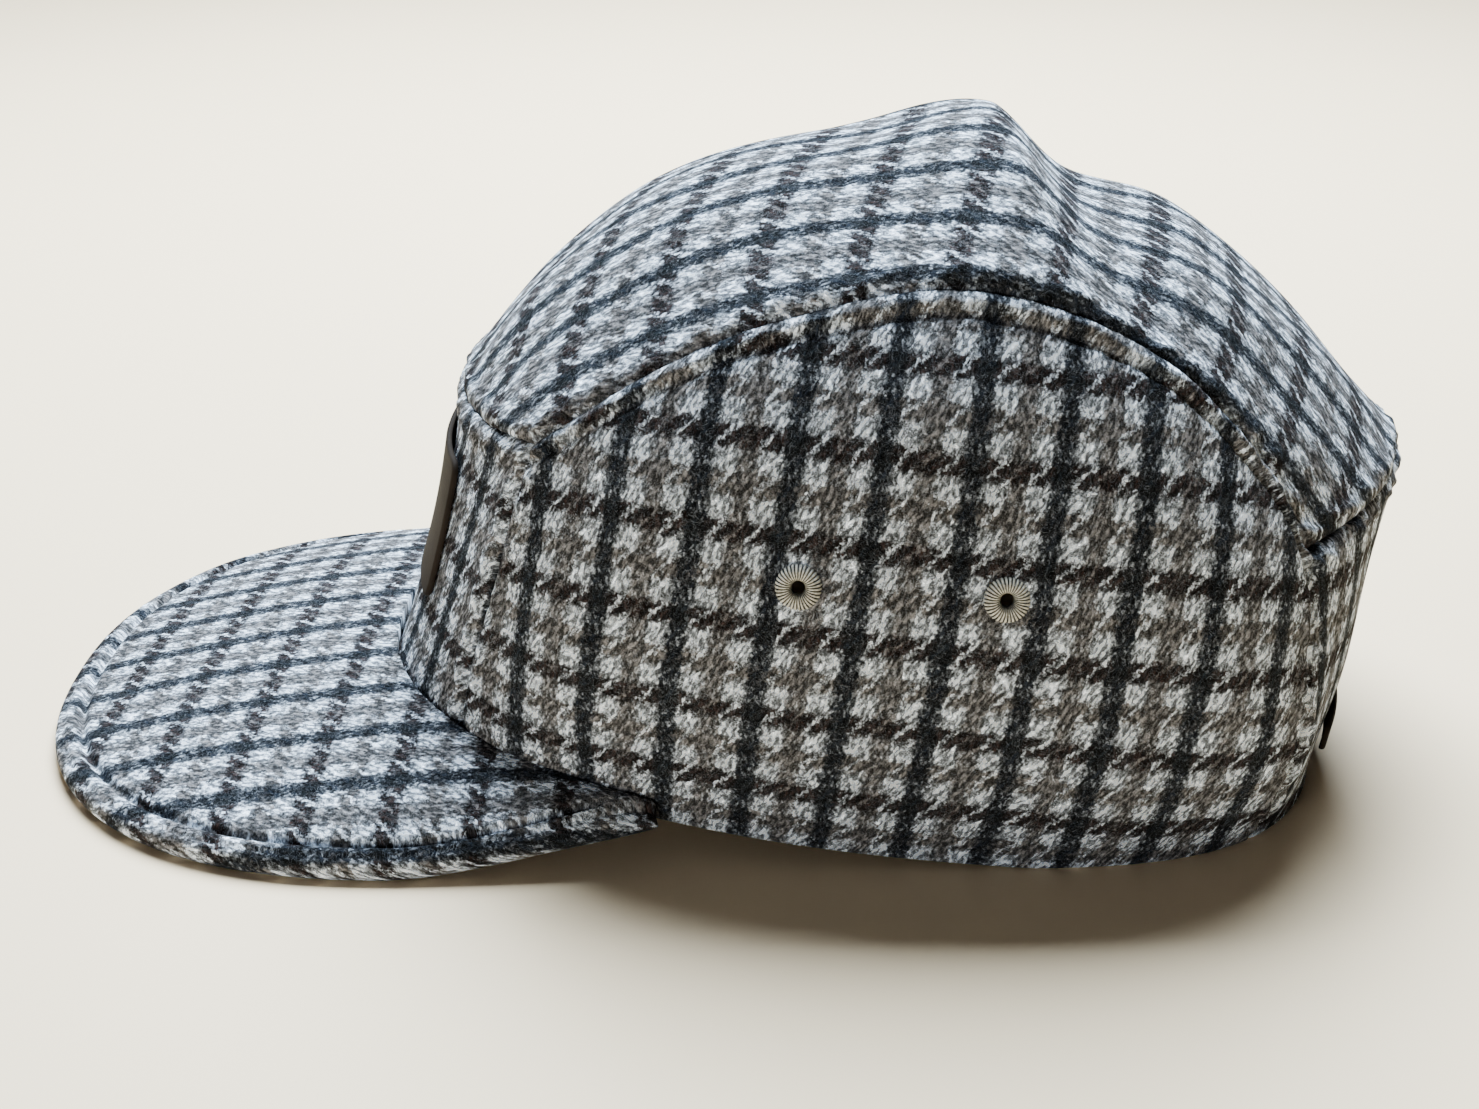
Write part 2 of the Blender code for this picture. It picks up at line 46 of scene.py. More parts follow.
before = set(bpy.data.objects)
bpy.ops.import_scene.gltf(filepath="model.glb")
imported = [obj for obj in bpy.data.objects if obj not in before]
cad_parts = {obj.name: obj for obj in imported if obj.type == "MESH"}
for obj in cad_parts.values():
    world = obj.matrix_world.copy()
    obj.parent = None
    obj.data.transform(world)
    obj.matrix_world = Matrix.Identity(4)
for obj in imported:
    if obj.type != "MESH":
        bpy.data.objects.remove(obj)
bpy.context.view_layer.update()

# Cloth
WALL = 0.0022
CLEARANCE = 0.0003

# Crown
CROWN_LENGTH = 0.2059
CROWN_HEIGHT = 0.125
TOP_WIDTH = 0.101
SIDE_BULGE = 0.011
FRONT_DENT = 0.0037
BACK_DENT = 0.0055
FRONT_SEAM_TURN = 33.0
BACK_SEAM_TURN = 128.0
FRONT_SEAM_BOW = (0.003, -0.001, 0.0)
BACK_SEAM_BOW = (0.004, 0.005, 0.0)
TOP_DROP_POWER = 2.2
CORE_HEIGHT = 0.24
CORE_FRONT = 0.40
CORE_BACK = 0.60

# Hem
HEM_WIDTH = 0.140
HEM_LENGTH = 0.190
HEM_WIDEST = 0.62
HEM_FRONT_POWER = 2.35
HEM_BACK_POWER = 3.0
HEM_LIFT = 0.013
HEM_LIFT_END = 0.67
HEM_LIFT_POWER = 1.1

# Peak
PEAK_REACH = 0.0707
PEAK_FLARE = 0.0047
PEAK_THICKNESS = 0.005
PEAK_WIDEST = 0.008
PEAK_POWER = 2.3
PEAK_TAPER_POWER = 1.4
PEAK_ROOT_TURN = 62.4
PEAK_SEAT = 0.0003
PEAK_LIFT = 0.0062
PEAK_LIFT_START = 0.004
PEAK_CORNER_REACH = 0.0008
PEAK_CAMBER = 0.0015

# Label, eyelets, rear gap and strap
LABEL_WIDTH = 0.050
LABEL_HEIGHT = 0.030
LABEL_THICKNESS = 0.0012
LABEL_RISE = 0.0215
LABEL_CORNER = 0.003
EYELET_DIAMETER = 0.0085
OPENING_WIDTH = 0.056
OPENING_HEIGHT = 0.030
STRAP_WIDTH = 0.0065
STRAP_THICKNESS = 0.0012
STRAP_HEIGHT = 0.0140
STRAP_LAP = 0.016
STRAP_CORNER = 0.002

ArchPoint = namedtuple("ArchPoint", "along out up")
# The seam between top and side panels, front corner to back corner at equal steps: shares of the
# crown's length, of the top's half width and of the crown's height.
ARCH = (
    ArchPoint(0.169, 0.94, 0.615),
    ArchPoint(0.219, 0.985, 0.674),
    ArchPoint(0.289, 1.00, 0.745),
    ArchPoint(0.372, 1.00, 0.805),
    ArchPoint(0.467, 1.00, 0.845),
    ArchPoint(0.551, 1.00, 0.857),
    ArchPoint(0.639, 1.015, 0.823),
    ArchPoint(0.718, 1.03, 0.755),
    ArchPoint(0.777, 1.06, 0.670),
    ArchPoint(0.820, 1.09, 0.577),
    ArchPoint(0.846, 1.12, 0.466),
)

CentrePoint = namedtuple("CentrePoint", "along up")
# The top panel's middle line, front edge to back edge, with the crest and the dip behind it.
CENTRE = (
    CentrePoint(0.079, 0.584),
    CentrePoint(0.159, 0.738),
    CentrePoint(0.254, 0.862),
    CentrePoint(0.363, 0.935),
    CentrePoint(0.473, 0.970),
    CentrePoint(0.588, 1.000),
    CentrePoint(0.669, 0.897),
    CentrePoint(0.776, 0.842),
    CentrePoint(0.896, 0.680),
    CentrePoint(1.000, 0.492),
)

EyeletPlace = namedtuple("EyeletPlace", "name along up")
EYELETS = (
    EyeletPlace("front", 0.380, 0.542),
    EyeletPlace("back", 0.562, 0.545),
)

Lay = namedtuple("Lay", "warp_turn warp_step warp_place weft_turn weft_step weft_place weft_fan")
# How the check lies on each panel, laid flat about its middle. Blue-black stripes stand across the
# panel, and brown stripes up it: each has degrees of turn, millimetres from one to the next and
# millimetres from the middle to one of them. weft_fan is the brown stripes' turn in degrees gained
# with each millimetre up the panel.
LAYS = {
    "top_panel": Lay(-4.0, 13.2, 36.5, -13.0, 17.3, 11.0, 0.09),
    "front_panel": Lay(-5.7, 15.4, 35.8, 6.0, 16.3, 0.5, 0.0),
    "back_panel": Lay(2.0, 15.4, 0.0, 0.0, 16.3, 4.0, 0.0),
    "side_panel_left": Lay(-1.6, 15.4, 5.1, 0.0, 16.4, 0.7, 0.0),
    "side_panel_right": Lay(1.6, 15.4, -3.0, 0.0, 16.4, 5.0, 0.0),
    "peak": Lay(0.0, 14.0, 2.5, -4.0, 16.3, 1.3, 0.0),
}

FINE = 201  # points along a curve that is measured
DARK_STRIPE = 0.375  # share of the check's repeat at which the blue-black and brown stripes lie
YARNS = 16  # yarns in one repeat of the check, four to a stripe
FRONT_Y = (PEAK_REACH - CROWN_LENGTH) / 2
UP = np.array((0.0, 0.0, 1.0))


# Surfaces


def spline(rows, t):
    """Smooth curve through the rows of a table at equal steps of t."""
    rows = np.array(rows)
    last = len(rows) - 1
    before = 2 * rows[0] - rows[1]
    after = 2 * rows[-1] - rows[-2]
    rows = np.vstack([before, rows, after])
    place = np.clip(np.asarray(t) * last, 0, last - 1e-9)
    first = place.astype(int)
    f = (place - first)[:, None]
    a, b, c, d = rows[first], rows[first + 1], rows[first + 2], rows[first + 3]
    bend = (c - a) * f + (2 * a - 5 * b + 4 * c - d) * f**2 + (3 * b - a - 3 * c + d) * f**3
    return b + bend / 2


def blend(a, b, t):
    return a + (b - a) * np.asarray(t)[..., None]


def mirrored(points):
    return points * (-1, 1, 1)


def smooth_step(t):
    t = np.clip(t, 0, 1)
    return t**2 * (3 - 2 * t)


def arch(t):
    """The left arched seam, from its front corner to its back corner."""
    row = spline(ARCH, t)
    x = row[:, 1] * TOP_WIDTH / 2
    y = FRONT_Y + row[:, 0] * CROWN_LENGTH
    return np.stack([x, y, row[:, 2] * CROWN_HEIGHT], -1)


def centre(t):
    row = spline(CENTRE, t)
    y = FRONT_Y + row[:, 0] * CROWN_LENGTH
    return np.stack([0 * y, y, row[:, 1] * CROWN_HEIGHT], -1)


def hem(turn):
    """The hem, by degrees from its front centre round the left side to its back centre."""
    angle = np.radians(turn)
    c, s = np.cos(angle), np.sin(angle)
    power = np.where(c > 0, HEM_FRONT_POWER, HEM_BACK_POWER)
    reach = np.where(c > 0, HEM_WIDEST, 1 - HEM_WIDEST) * HEM_LENGTH
    x = HEM_WIDTH / 2 * np.sign(s) * np.abs(s) ** (2 / power)
    y = HEM_WIDEST * HEM_LENGTH - reach * np.sign(c) * np.abs(c) ** (2 / power)
    lift = np.clip(1 - y / (HEM_LIFT_END * HEM_LENGTH), 0, 1) ** HEM_LIFT_POWER
    return np.stack([x, FRONT_Y + y, HEM_LIFT * lift], -1)


def seam(low, high, bow, t):
    """From low to high, bowed in its middle."""
    t = np.asarray(t)
    return blend(low, high, t) + np.outer(4 * t * (1 - t), bow)


def front_seam(t):
    return seam(hem([FRONT_SEAM_TURN]), arch([0.0]), FRONT_SEAM_BOW, t)


def back_seam(t):
    return seam(hem([BACK_SEAM_TURN]), arch([1.0]), BACK_SEAM_BOW, t)


def inside_edges(bottom, top, start, end, u, v):
    """The smooth surface held by four edges: bottom and top run along u, start and end along v."""
    none, all_ = np.zeros_like(u), np.ones_like(u)
    ruled = blend(bottom(u), top(u), v) + blend(start(v), end(v), u)
    low = blend(bottom(none), bottom(all_), u)
    high = blend(top(none), top(all_), u)
    return ruled - blend(low, high, v)


def side_panel(u, v):
    def bottom(t):
        return hem(FRONT_SEAM_TURN + (BACK_SEAM_TURN - FRONT_SEAM_TURN) * t)

    points = inside_edges(bottom, arch, front_seam, back_seam, u, v)
    points[:, 0] += SIDE_BULGE * 4 * v * (1 - v) * (1 - np.abs(2 * u - 1) ** 3)
    return points


def top_panel(u, v):
    across = 2 * v - 1
    middle, edge = centre(u), arch(u)
    x = edge[:, 0] * across
    y = middle[:, 1] + (edge[:, 1] - middle[:, 1]) * across**2
    z = middle[:, 2] + (edge[:, 2] - middle[:, 2]) * np.abs(across) ** TOP_DROP_POWER
    return np.stack([x, y, z], -1)


def end_panel(u, v, middle_turn, seam_turn, left, top_u):
    """The plain surface between a left seam and its mirror image, under one end of the top panel."""

    def bottom(t):
        return hem(middle_turn + (seam_turn - middle_turn) * (2 * t - 1))

    def top(t):
        return top_panel(np.full_like(t, top_u), t)

    def right(t):
        return mirrored(left(t))

    return inside_edges(bottom, top, right, left, u, v)


def front_panel(u, v):
    points = end_panel(u, v, 0, FRONT_SEAM_TURN, front_seam, 0.0)
    points[:, 1] += FRONT_DENT * (1 - (2 * u - 1) ** 2) * 4 * v * (1 - v)
    return points


def back_panel(u, v):
    points = end_panel(u, v, 180, BACK_SEAM_TURN, back_seam, 1.0)
    points[:, 1] -= BACK_DENT * (1 - (2 * u - 1) ** 4) * 4 * v * (1 - v)
    return points


def inward(points):
    """Directions into the crown: level near the hem, and toward its core higher up."""
    core_front = FRONT_Y + CORE_FRONT * CROWN_LENGTH
    core_back = FRONT_Y + CORE_BACK * CROWN_LENGTH
    x, y, z = points[..., 0], points[..., 1], points[..., 2]
    to_core = np.clip(y, core_front, core_back) - y
    down = -np.maximum(z - CORE_HEIGHT * CROWN_HEIGHT, 0)
    way = np.stack([-x, to_core, down], -1)
    return way / np.linalg.norm(way, axis=-1, keepdims=True)


# Nets of points


def net(surface, us, vs):
    """Points of a surface at each pair of shares, as an array of columns of points."""
    u, v = np.meshgrid(us, vs, indexing="ij")
    return surface(u.ravel(), v.ravel()).reshape(len(us), len(vs), 3)


def length_of(points):
    return np.linalg.norm(np.diff(points, axis=0), axis=1).sum()


def outward_normals(points):
    """Unit normals of a net, on the side away from the crown's core."""
    normal = np.cross(np.gradient(points, axis=0), np.gradient(points, axis=1))
    facing = np.sign((normal * inward(points)).sum(-1, keepdims=True))
    return -normal * facing / np.linalg.norm(normal, axis=-1, keepdims=True)


def ways_along(points, axis):
    """How far each point of a net lies from its edge, along the net's lines on that axis."""
    steps = np.linalg.norm(np.diff(points, axis=axis), axis=-1)
    start = np.zeros_like(np.take(steps, [0], axis=axis))
    return np.concatenate([start, np.cumsum(steps, axis=axis)], axis=axis)


def close_at_ends(length, near, coarse):
    """Shares of a length, in the steps of near at both its ends and coarse steps between them."""
    near = np.cumsum(np.concatenate([[0], near]))
    count = max(round((length - 2 * near[-1]) / coarse), 2)
    middle = np.linspace(near[-1], length - near[-1], count + 1)[1:-1]
    return np.concatenate([near, middle, length - near[::-1]]) / length


def flattened(points, rounds=1500):
    """The net laid flat as the cloth was cut, with its lengths kept as nearly as they can be."""
    along = ways_along(points, 0)[:, points.shape[1] // 2]
    up = ways_along(points, 1)[points.shape[0] // 2]
    flat = np.stack(np.meshgrid(along, up, indexing="ij"), -1)
    ties = []
    for one, other in (
        (np.s_[:-1, :], np.s_[1:, :]),
        (np.s_[:, :-1], np.s_[:, 1:]),
        (np.s_[:-1, :-1], np.s_[1:, 1:]),
        (np.s_[:-1, 1:], np.s_[1:, :-1]),
    ):
        want = np.linalg.norm(points[one] - points[other], axis=-1)
        ties.append((one, other, want))
    for _ in range(rounds):
        push = np.zeros_like(flat)
        for one, other, want in ties:
            gap = flat[other] - flat[one]
            have = np.linalg.norm(gap, axis=-1)
            move = gap * ((have - want) / have)[..., None]
            push[one] += move
            push[other] -= move
        flat += push / 8
    return flat


def read_net(coarse, us, vs):
    """A coarse net of values at even shares, read smoothly at other shares."""
    columns, rows, size = coarse.shape
    along = spline(coarse.reshape(columns, rows * size), us).reshape(len(us), rows, size)
    turned = along.transpose(1, 0, 2).reshape(rows, len(us) * size)
    return spline(turned, vs).reshape(len(vs), len(us), size).transpose(1, 0, 2)


# Relief of the cloth


def rolled(distance, radius, depth):
    """How far an edge's face turns in, by the distance from the edge."""
    t = np.clip(1 - distance / radius, 0, 1)
    return depth * (1 - np.sqrt(1 - t**2))


def groove(distance, place, width):
    """A soft channel, 1 deep at its middle."""
    return np.exp(-(((distance - place) / width) ** 2))


def ripple(flat, wavelength, seed):
    """Soft unevenness between about -1 and 1, over the flat cloth."""
    random = np.random.default_rng(seed)
    total = np.zeros(flat.shape[:-1])
    waves = 7
    for turn in random.uniform(0, 2 * np.pi, waves):
        way = np.array((np.cos(turn), np.sin(turn))) * 2 * np.pi / wavelength
        way = way * random.uniform(0.6, 1.5)
        total += np.sin(flat @ way + random.uniform(0, 2 * np.pi))
    return total / np.sqrt(waves)


# Meshes


def new_object(name, mesh, material):
    mesh.materials.append(material)
    mesh.shade_smooth()
    obj = bpy.data.objects.new(name, mesh)
    bpy.context.scene.collection.objects.link(obj)
    return obj


def placed(obj, node):
    """Seats a finished piece on the cap, in place of its plain solid."""
    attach(obj, "root")
    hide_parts(node)


def signed_volume(mesh):
    mesh.calc_loop_triangles()
    points = np.empty(len(mesh.vertices) * 3)
    mesh.vertices.foreach_get("co", points)
    corners = np.empty(len(mesh.loop_triangles) * 3, int)
    mesh.loop_triangles.foreach_get("vertices", corners)
    return np.linalg.det(points.reshape(-1, 3)[corners.reshape(-1, 3)]).sum()


def face_out(mesh):
    if signed_volume(mesh) < 0:
        mesh.flip_normals()
    mesh.update()


def mesh_from(bm, name):
    """A new mesh with what a bmesh holds, which is then freed."""
    mesh = bpy.data.meshes.new(name)
    bm.to_mesh(mesh)
    bm.free()
    return mesh


def grid_places(mesh, columns, rows):
    """Which column and row of the starting grid each vertex came from, and whether it is the far one."""
    points = np.empty(len(mesh.vertices) * 3)
    mesh.vertices.foreach_get("co", points)
    points = points.reshape(-1, 3)
    column = np.rint((points[:, 0] + 0.5) * (columns - 1)).astype(int)
    row = np.rint((points[:, 1] + 0.5) * (rows - 1)).astype(int)
    return column, row, points[:, 2] > 0.5


def set_cloth_map(mesh, flat):
    """Writes the flat place of each vertex as the UV map that the cloth's pattern follows; an eyelet
    thread's painted shade follows it too.
    """
    corners = np.empty(len(mesh.loops), int)
    mesh.loops.foreach_get("vertex_index", corners)
    layer = mesh.uv_layers.new(name="cloth")
    layer.uv.foreach_set("vector", flat[corners].astype(np.float32).ravel())


def cut_hole(bm, inside):
    """Takes away the grid's vertices whose column and row are marked as inside a hole."""
    columns, rows = inside.shape
    doomed = []
    for vertex in bm.verts:
        column = round((vertex.co.x + 0.5) * (columns - 1))
        row = round((vertex.co.y + 0.5) * (rows - 1))
        if inside[column, row]:
            doomed.append(vertex)
    bmesh.ops.delete(bm, geom=doomed, context="VERTS")


def wall(name, outer, inner, flat, material, holes=()):
    """A sheet between two nets of points. holes are (middle, radius) pairs cut through it."""
    columns, rows = outer.shape[:2]
    bm = bmesh.new()
    bmesh.ops.create_grid(bm, x_segments=columns - 1, y_segments=rows - 1, size=0.5)
    for middle, radius in holes:
        cut_hole(bm, np.linalg.norm(outer - middle, axis=-1) < radius)
    made = bmesh.ops.extrude_face_region(bm, geom=bm.faces[:], use_keep_orig=True)["geom"]
    far = [item for item in made if isinstance(item, bmesh.types.BMVert)]
    bmesh.ops.translate(bm, verts=far, vec=(0, 0, 1))
    mesh = mesh_from(bm, name)
    column, row, is_far = grid_places(mesh, columns, rows)
    points = np.where(is_far[:, None], inner[column, row], outer[column, row])
    mesh.vertices.foreach_set("co", points.ravel())
    set_cloth_map(mesh, flat[column, row])
    face_out(mesh)
    return new_object(name, mesh, material)


def tube(name, rings, material, flat=None):
    """A body from sections, each a closed ring, with its two ends filled."""
    rings = np.concatenate([rings, rings[:, :1]], 1)
    columns, rows = rings.shape[:2]
    bm = bmesh.new()
    bmesh.ops.create_grid(bm, x_segments=columns - 1, y_segments=rows - 1, size=0.5)
    mesh = bpy.data.meshes.new(name)
    bm.to_mesh(mesh)
    column, row, _ = grid_places(mesh, columns, rows)
    if flat is not None:
        flat = np.concatenate([flat, flat[:, -1:]], 1)
        set_cloth_map(mesh, flat[column, row])
    mesh.vertices.foreach_set("co", rings[column, row].ravel())
    bm.clear()
    bm.from_mesh(mesh)
    bmesh.ops.remove_doubles(bm, verts=bm.verts, dist=1e-7)
    bmesh.ops.holes_fill(bm, edges=[edge for edge in bm.edges if edge.is_boundary])
    bm.to_mesh(mesh)
    bm.free()
    face_out(mesh)
    return new_object(name, mesh, material)


def applied(obj):
    """Makes what an object's modifiers do part of its mesh."""
    graph = bpy.context.evaluated_depsgraph_get()
    mesh = bpy.data.meshes.new_from_object(obj.evaluated_get(graph))
    obj.modifiers.clear()
    obj.data = mesh


# Materials


class Shader:
    """The node tree of one material, with short calls that add a node and give its output."""

    def __init__(self, name):
        self.material = bpy.data.materials.new(name)
        self.material.use_nodes = True
        self.tree = self.material.node_tree
        self.surface = self.tree.nodes["Principled BSDF"]

    def join(self, value, socket):
        if isinstance(value, bpy.types.NodeSocket):
            self.tree.links.new(value, socket)
        elif value is not None:
            socket.default_value = value

    def node(self, kind, inputs=(), output=0, **settings):
        """Adds a node. inputs maps socket names or numbers to values or other nodes' outputs."""
        made = self.tree.nodes.new(kind)
        for name, value in settings.items():
            setattr(made, name, value)
        for key, value in dict(inputs).items():
            self.join(value, made.inputs[key])
        return made.outputs[output]

    def math(self, operation, a, b=None, c=None):
        return self.node("ShaderNodeMath", {0: a, 1: b, 2: c}, operation=operation)

    def rounded_share(self, share):
        """1 at a share of a half, falling round to 0 at its ends."""
        off = self.math("MULTIPLY_ADD", share, 2.0, -1.0)
        return self.math("SUBTRACT", 1.0, self.math("MULTIPLY", off, off))

    def moved(self, place, noise, reach):
        """The place, shifted by up to half the reach each way by a coloured noise."""
        shift = self.node("ShaderNodeVectorMath", {0: noise, 1: (0.5, 0.5, 0.5)}, operation="SUBTRACT")
        inputs = {0: shift, 1: (reach, reach, 0.0), 2: place}
        return self.node("ShaderNodeVectorMath", inputs, operation="MULTIPLY_ADD")

    def across_and_along(self, place):
        parts = self.node("ShaderNodeSeparateXYZ", {0: place})
        return parts.node.outputs[0], parts.node.outputs[1]

    def mix(self, share, a, b, blend_type="MIX"):
        inputs = {0: share, 6: a, 7: b}
        return self.node("ShaderNodeMix", inputs, 2, data_type="RGBA", blend_type=blend_type)

    def shaded(self, colour, share):
        """The colour times a share."""
        grey = self.node("ShaderNodeCombineColor", {0: share, 1: share, 2: share})
        return self.mix(1.0, colour, grey, "MULTIPLY")

    def noise(self, vector, wavelength, detail=2.0, roughness=0.5, distortion=0.0, output=0):
        """Soft noise over a flat place."""
        return self.solid_noise(vector, wavelength, detail, roughness, distortion, output, "2D")

    def solid_noise(
        self, vector, wavelength, detail=2.0, roughness=0.5, distortion=0.0, output=0, dimensions="3D"
    ):
        inputs = {
            "Vector": vector,
            "Scale": 1 / wavelength,
            "Detail": detail,
            "Roughness": roughness,
            "Distortion": distortion,
        }
        return self.node("ShaderNodeTexNoise", inputs, output, noise_dimensions=dimensions)

    def span(self, value, low, high, to_low=0.0, to_high=1.0):
        inputs = {0: value, 1: low, 2: high, 3: to_low, 4: to_high}
        return self.node("ShaderNodeMapRange", inputs, interpolation_type="SMOOTHSTEP")

    def ramp(self, value, stops):
        """Colours along a value. stops are (place, colour) pairs."""
        made = self.tree.nodes.new("ShaderNodeValToRGB")
        elements = made.color_ramp.elements
        while len(elements) < len(stops):
            elements.new(0.5)
        for element, (place, colour) in zip(elements, stops):
            element.position = place
            element.color = (*colour, 1.0)
        self.join(value, made.inputs[0])
        return made.outputs[0]

    def bump(self, height, strength, distance):
        inputs = {"Strength": strength, "Distance": distance, "Height": height}
        return self.node("ShaderNodeBump", inputs)

    def finish(self, **sockets):
        """Sets the surface's own sockets, named with underscores for spaces."""
        for name, value in sockets.items():
            self.join(value, self.surface.inputs[name.replace("_", " ")])
        return self.material


# Brushed wool

Drag = namedtuple("Drag", "wavelength detail roughness reach")
# The yarns wander a little, and the brushing drags their edges.
YARN_DRAGS = (
    Drag(0.014, 1.0, 0.5, 0.0020),
    Drag(0.0016, 1.0, 0.5, 0.0015),
    Drag(0.0005, 2.0, 0.7, 0.0012),
)
FIBRE_DRAG = Drag(0.0011, 2.0, 0.7, 0.0075)
Curl = namedtuple("Curl", "wavelength turn width")
# Thin curling lines over the cloth, and how much of it they cover.
FIBRE_CURLS = (Curl(0.0019, 0.4, 0.05), Curl(0.0012, 1.9, 0.06))
HAIR_CURLS = (Curl(0.0021, 2.6, 0.018), Curl(0.0015, 1.2, 0.016))
CURL_COVER = 0.45
LEAST_COVER = 0.20
HAIR_COVER = 0.18
# Wavelengths of the shading, and how far its strokes are drawn out and lean.
GRAIN = 0.00032
CLUMP = 0.0012
STROKE = 0.0008
STROKE_DRAW = 2.5
STROKE_LEAN = 0.42
# How far the dark stripes spread over the white ones on each side, and half the softness of every
# edge, as shares of the check's repeat.
BLUE_SPREAD = 0.010
BROWN_SPREAD = 0.018
STRIPE_SOFT = 0.028
# A span takes one range of a value to another: low, high, and what each becomes.
GRAIN_SHADE = (0.36, 0.64, 0.0, 1.15)
STROKE_SHADE = (0.40, 0.69, 0.05, 2.2)
YARN_SHADE = (0.0, 0.9, 0.20, 1.50)
CLUMP_SHADE = (0.34, 0.66, 0.65, 1.4)
FIBRE_SHADE = (0.40, 0.64, 0.4, 2.4)
# The weft's lower floats are darkened by painted shade as well as lowered in the bump.
WEFT_LIFT = 0.7  # how high the weft's floats lie, beside the warp's
# The share of its own colour that a float keeps where it crosses a darker yarn; the rest is the darker
# yarn's colour, partly that yarn showing and partly painted shade between the yarns.
WEFT_KEEPS = 0.25
WARP_KEEPS = 0.7
# Loose fibres take the darker yarn's colour, with a share of a mix of both yarns and a tint.
MIX_SHARE = 0.05
WEFT_SHARE = 0.45
FIBRE_TINT = 0.02
SOFT_IOR = 1.1  # wool and leather hardly shine at a glancing look


def band_stops(first, second, third, spread):
    """Ramp stops of one repeat of the check: first, second, first again, then third."""
    edges = (0.0, 0.25 - spread, 0.5 + spread, 0.75, 1.0)
    stops = []
    for start, end, colour in zip(edges, edges[1:], (first, second, first, third)):
        stops += [(start + STRIPE_SOFT, colour), (end - STRIPE_SOFT, colour)]
    return stops


def dragged(s, place, flat, drag):
    """The place, moved by one of the cloth's drags."""
    noise = s.noise(flat, drag.wavelength, drag.detail, drag.roughness, output=1)
    return s.moved(place, noise, drag.reach)


def curled_lines(s, flat, curls):
    """Curling thin lines, where soft noises pass their middle."""
    lines = None
    for curl in curls:
        place = s.node("ShaderNodeMapping", {"Vector": flat, "Rotation": (0.0, 0.0, curl.turn)})
        noise = s.noise(place, curl.wavelength, 1.0, 0.5, 1.8)
        off = s.math("ABSOLUTE", s.math("SUBTRACT", noise, 0.5))
        line = s.span(off, 0.0, curl.width, 1.0, 0.0)
        lines = line if lines is None else s.math("MAXIMUM", lines, line)
    return lines


def leaning_strokes(s, flat):
    """Noise drawn out along the way that the floats lean."""
    inputs = {"Vector": flat, "Rotation": (0.0, 0.0, -STROKE_LEAN), "Scale": (1.0, STROKE_DRAW, 1.0)}
    place = s.node("ShaderNodeMapping", inputs, vector_type="TEXTURE")
    return s.noise(place, STROKE, 1.0, 0.6)


def stripes(s, place, sizes, colours):
    """Shares of the check's repeat across and along at a place, and the warp's and weft's colours."""
    across, along = s.across_and_along(place)
    warp_share = s.math("DIVIDE", across, sizes.repeat_across)
    weft_share = s.math("DIVIDE", along, sizes.repeat_along)
    warp_stops = band_stops(colours.white_yarn, colours.blue_yarn, colours.taupe_yarn, BLUE_SPREAD)
    weft_stops = band_stops(colours.white_yarn, colours.brown_yarn, colours.tan_yarn, BROWN_SPREAD)
    warp = s.ramp(s.math("FRACT", warp_share), warp_stops)
    weft = s.ramp(s.math("FRACT", weft_share), weft_stops)
    return warp_share, weft_share, warp, weft


def woven(s, place, sizes, colours):
    """Colour and roundness of the two-and-two twill; the darker yarn's colour fills the floats' edges and
    the lower weft floats, partly that yarn showing in the gaps and partly painted shade.
    """
    warp_share, weft_share, warp, weft = stripes(s, place, sizes, colours)
    # Each warp yarn passes over two weft yarns and under two, one weft yarn higher than the last.
    pick = s.math("MULTIPLY", weft_share, YARNS)
    end = s.math("MULTIPLY", warp_share, YARNS)
    way = s.math("DIVIDE", s.math("SUBTRACT", pick, s.math("FLOOR", end)), 4.0)
    lean = s.math("SUBTRACT", s.math("PINGPONG", way, 0.5), 0.25)
    end = s.math("SUBTRACT", end, lean)
    turn = s.math("SUBTRACT", s.math("FLOOR", end), s.math("FLOOR", pick))
    turn = s.math("FLOORED_MODULO", s.math("ADD", turn, 1.0), 4.0)
    warp_over = s.math("LESS_THAN", turn, 1.5)
    # A float is round across and dives at its ends. The weft's floats lie lower than the warp's.
    stroke = s.rounded_share(s.math("FRACT", end))
    on_float = s.math("SUBTRACT", s.math("ADD", s.math("FRACT", pick), 1.0), turn)
    dive = s.rounded_share(s.math("MULTIPLY", on_float, 0.5))
    dive = s.math("MAXIMUM", dive, s.math("SUBTRACT", WEFT_LIFT, warp_over))
    lift = s.span(warp_over, 0.0, 1.0, WEFT_LIFT, 1.0)
    yarn_round = s.math("MULTIPLY", s.math("MULTIPLY", stroke, lift), s.span(dive, 0.0, 0.8, 0.3, 1.0))
    colour = s.mix(warp_over, weft, warp)
    darker = s.mix(1.0, warp, weft, "DARKEN")
    # Painted shade: the floats' edges and the weft floats go toward the darker yarn's colour.
    keep = s.span(warp_over, 0.0, 1.0, WEFT_KEEPS, WARP_KEEPS)
    keep = s.math("MULTIPLY", s.span(yarn_round, 0.2, 0.8), keep)
    return s.mix(keep, darker, colour), yarn_round


def yarn_shade(s, yarn_round, grain, clumps, strokes):
    """How light the yarns are: painted highlight along the floats' middles, painted shade in the gaps
    between them and on the lower weft floats, times random tone from grain, clumps and strokes.
    """
    shade = s.math("ADD", s.span(grain, *GRAIN_SHADE), s.span(strokes, *STROKE_SHADE))
    shade = s.math("MULTIPLY", shade, s.span(yarn_round, *YARN_SHADE))
    return s.math("MULTIPLY", shade, s.span(clumps, *CLUMP_SHADE))


def loose_fibres(s, flat, strokes, sizes, colours):
    """The colour of loose fibres, which lie some way from their own yarn."""
    _, _, warp, weft = stripes(s, dragged(s, flat, flat, FIBRE_DRAG), sizes, colours)
    darker = s.mix(1.0, warp, weft, "DARKEN")
    loose = s.mix(MIX_SHARE, darker, s.mix(WEFT_SHARE, warp, weft))
    loose = s.mix(FIBRE_TINT, loose, (*colours.fibre, 1.0))
    return s.shaded(loose, s.span(strokes, *FIBRE_SHADE))


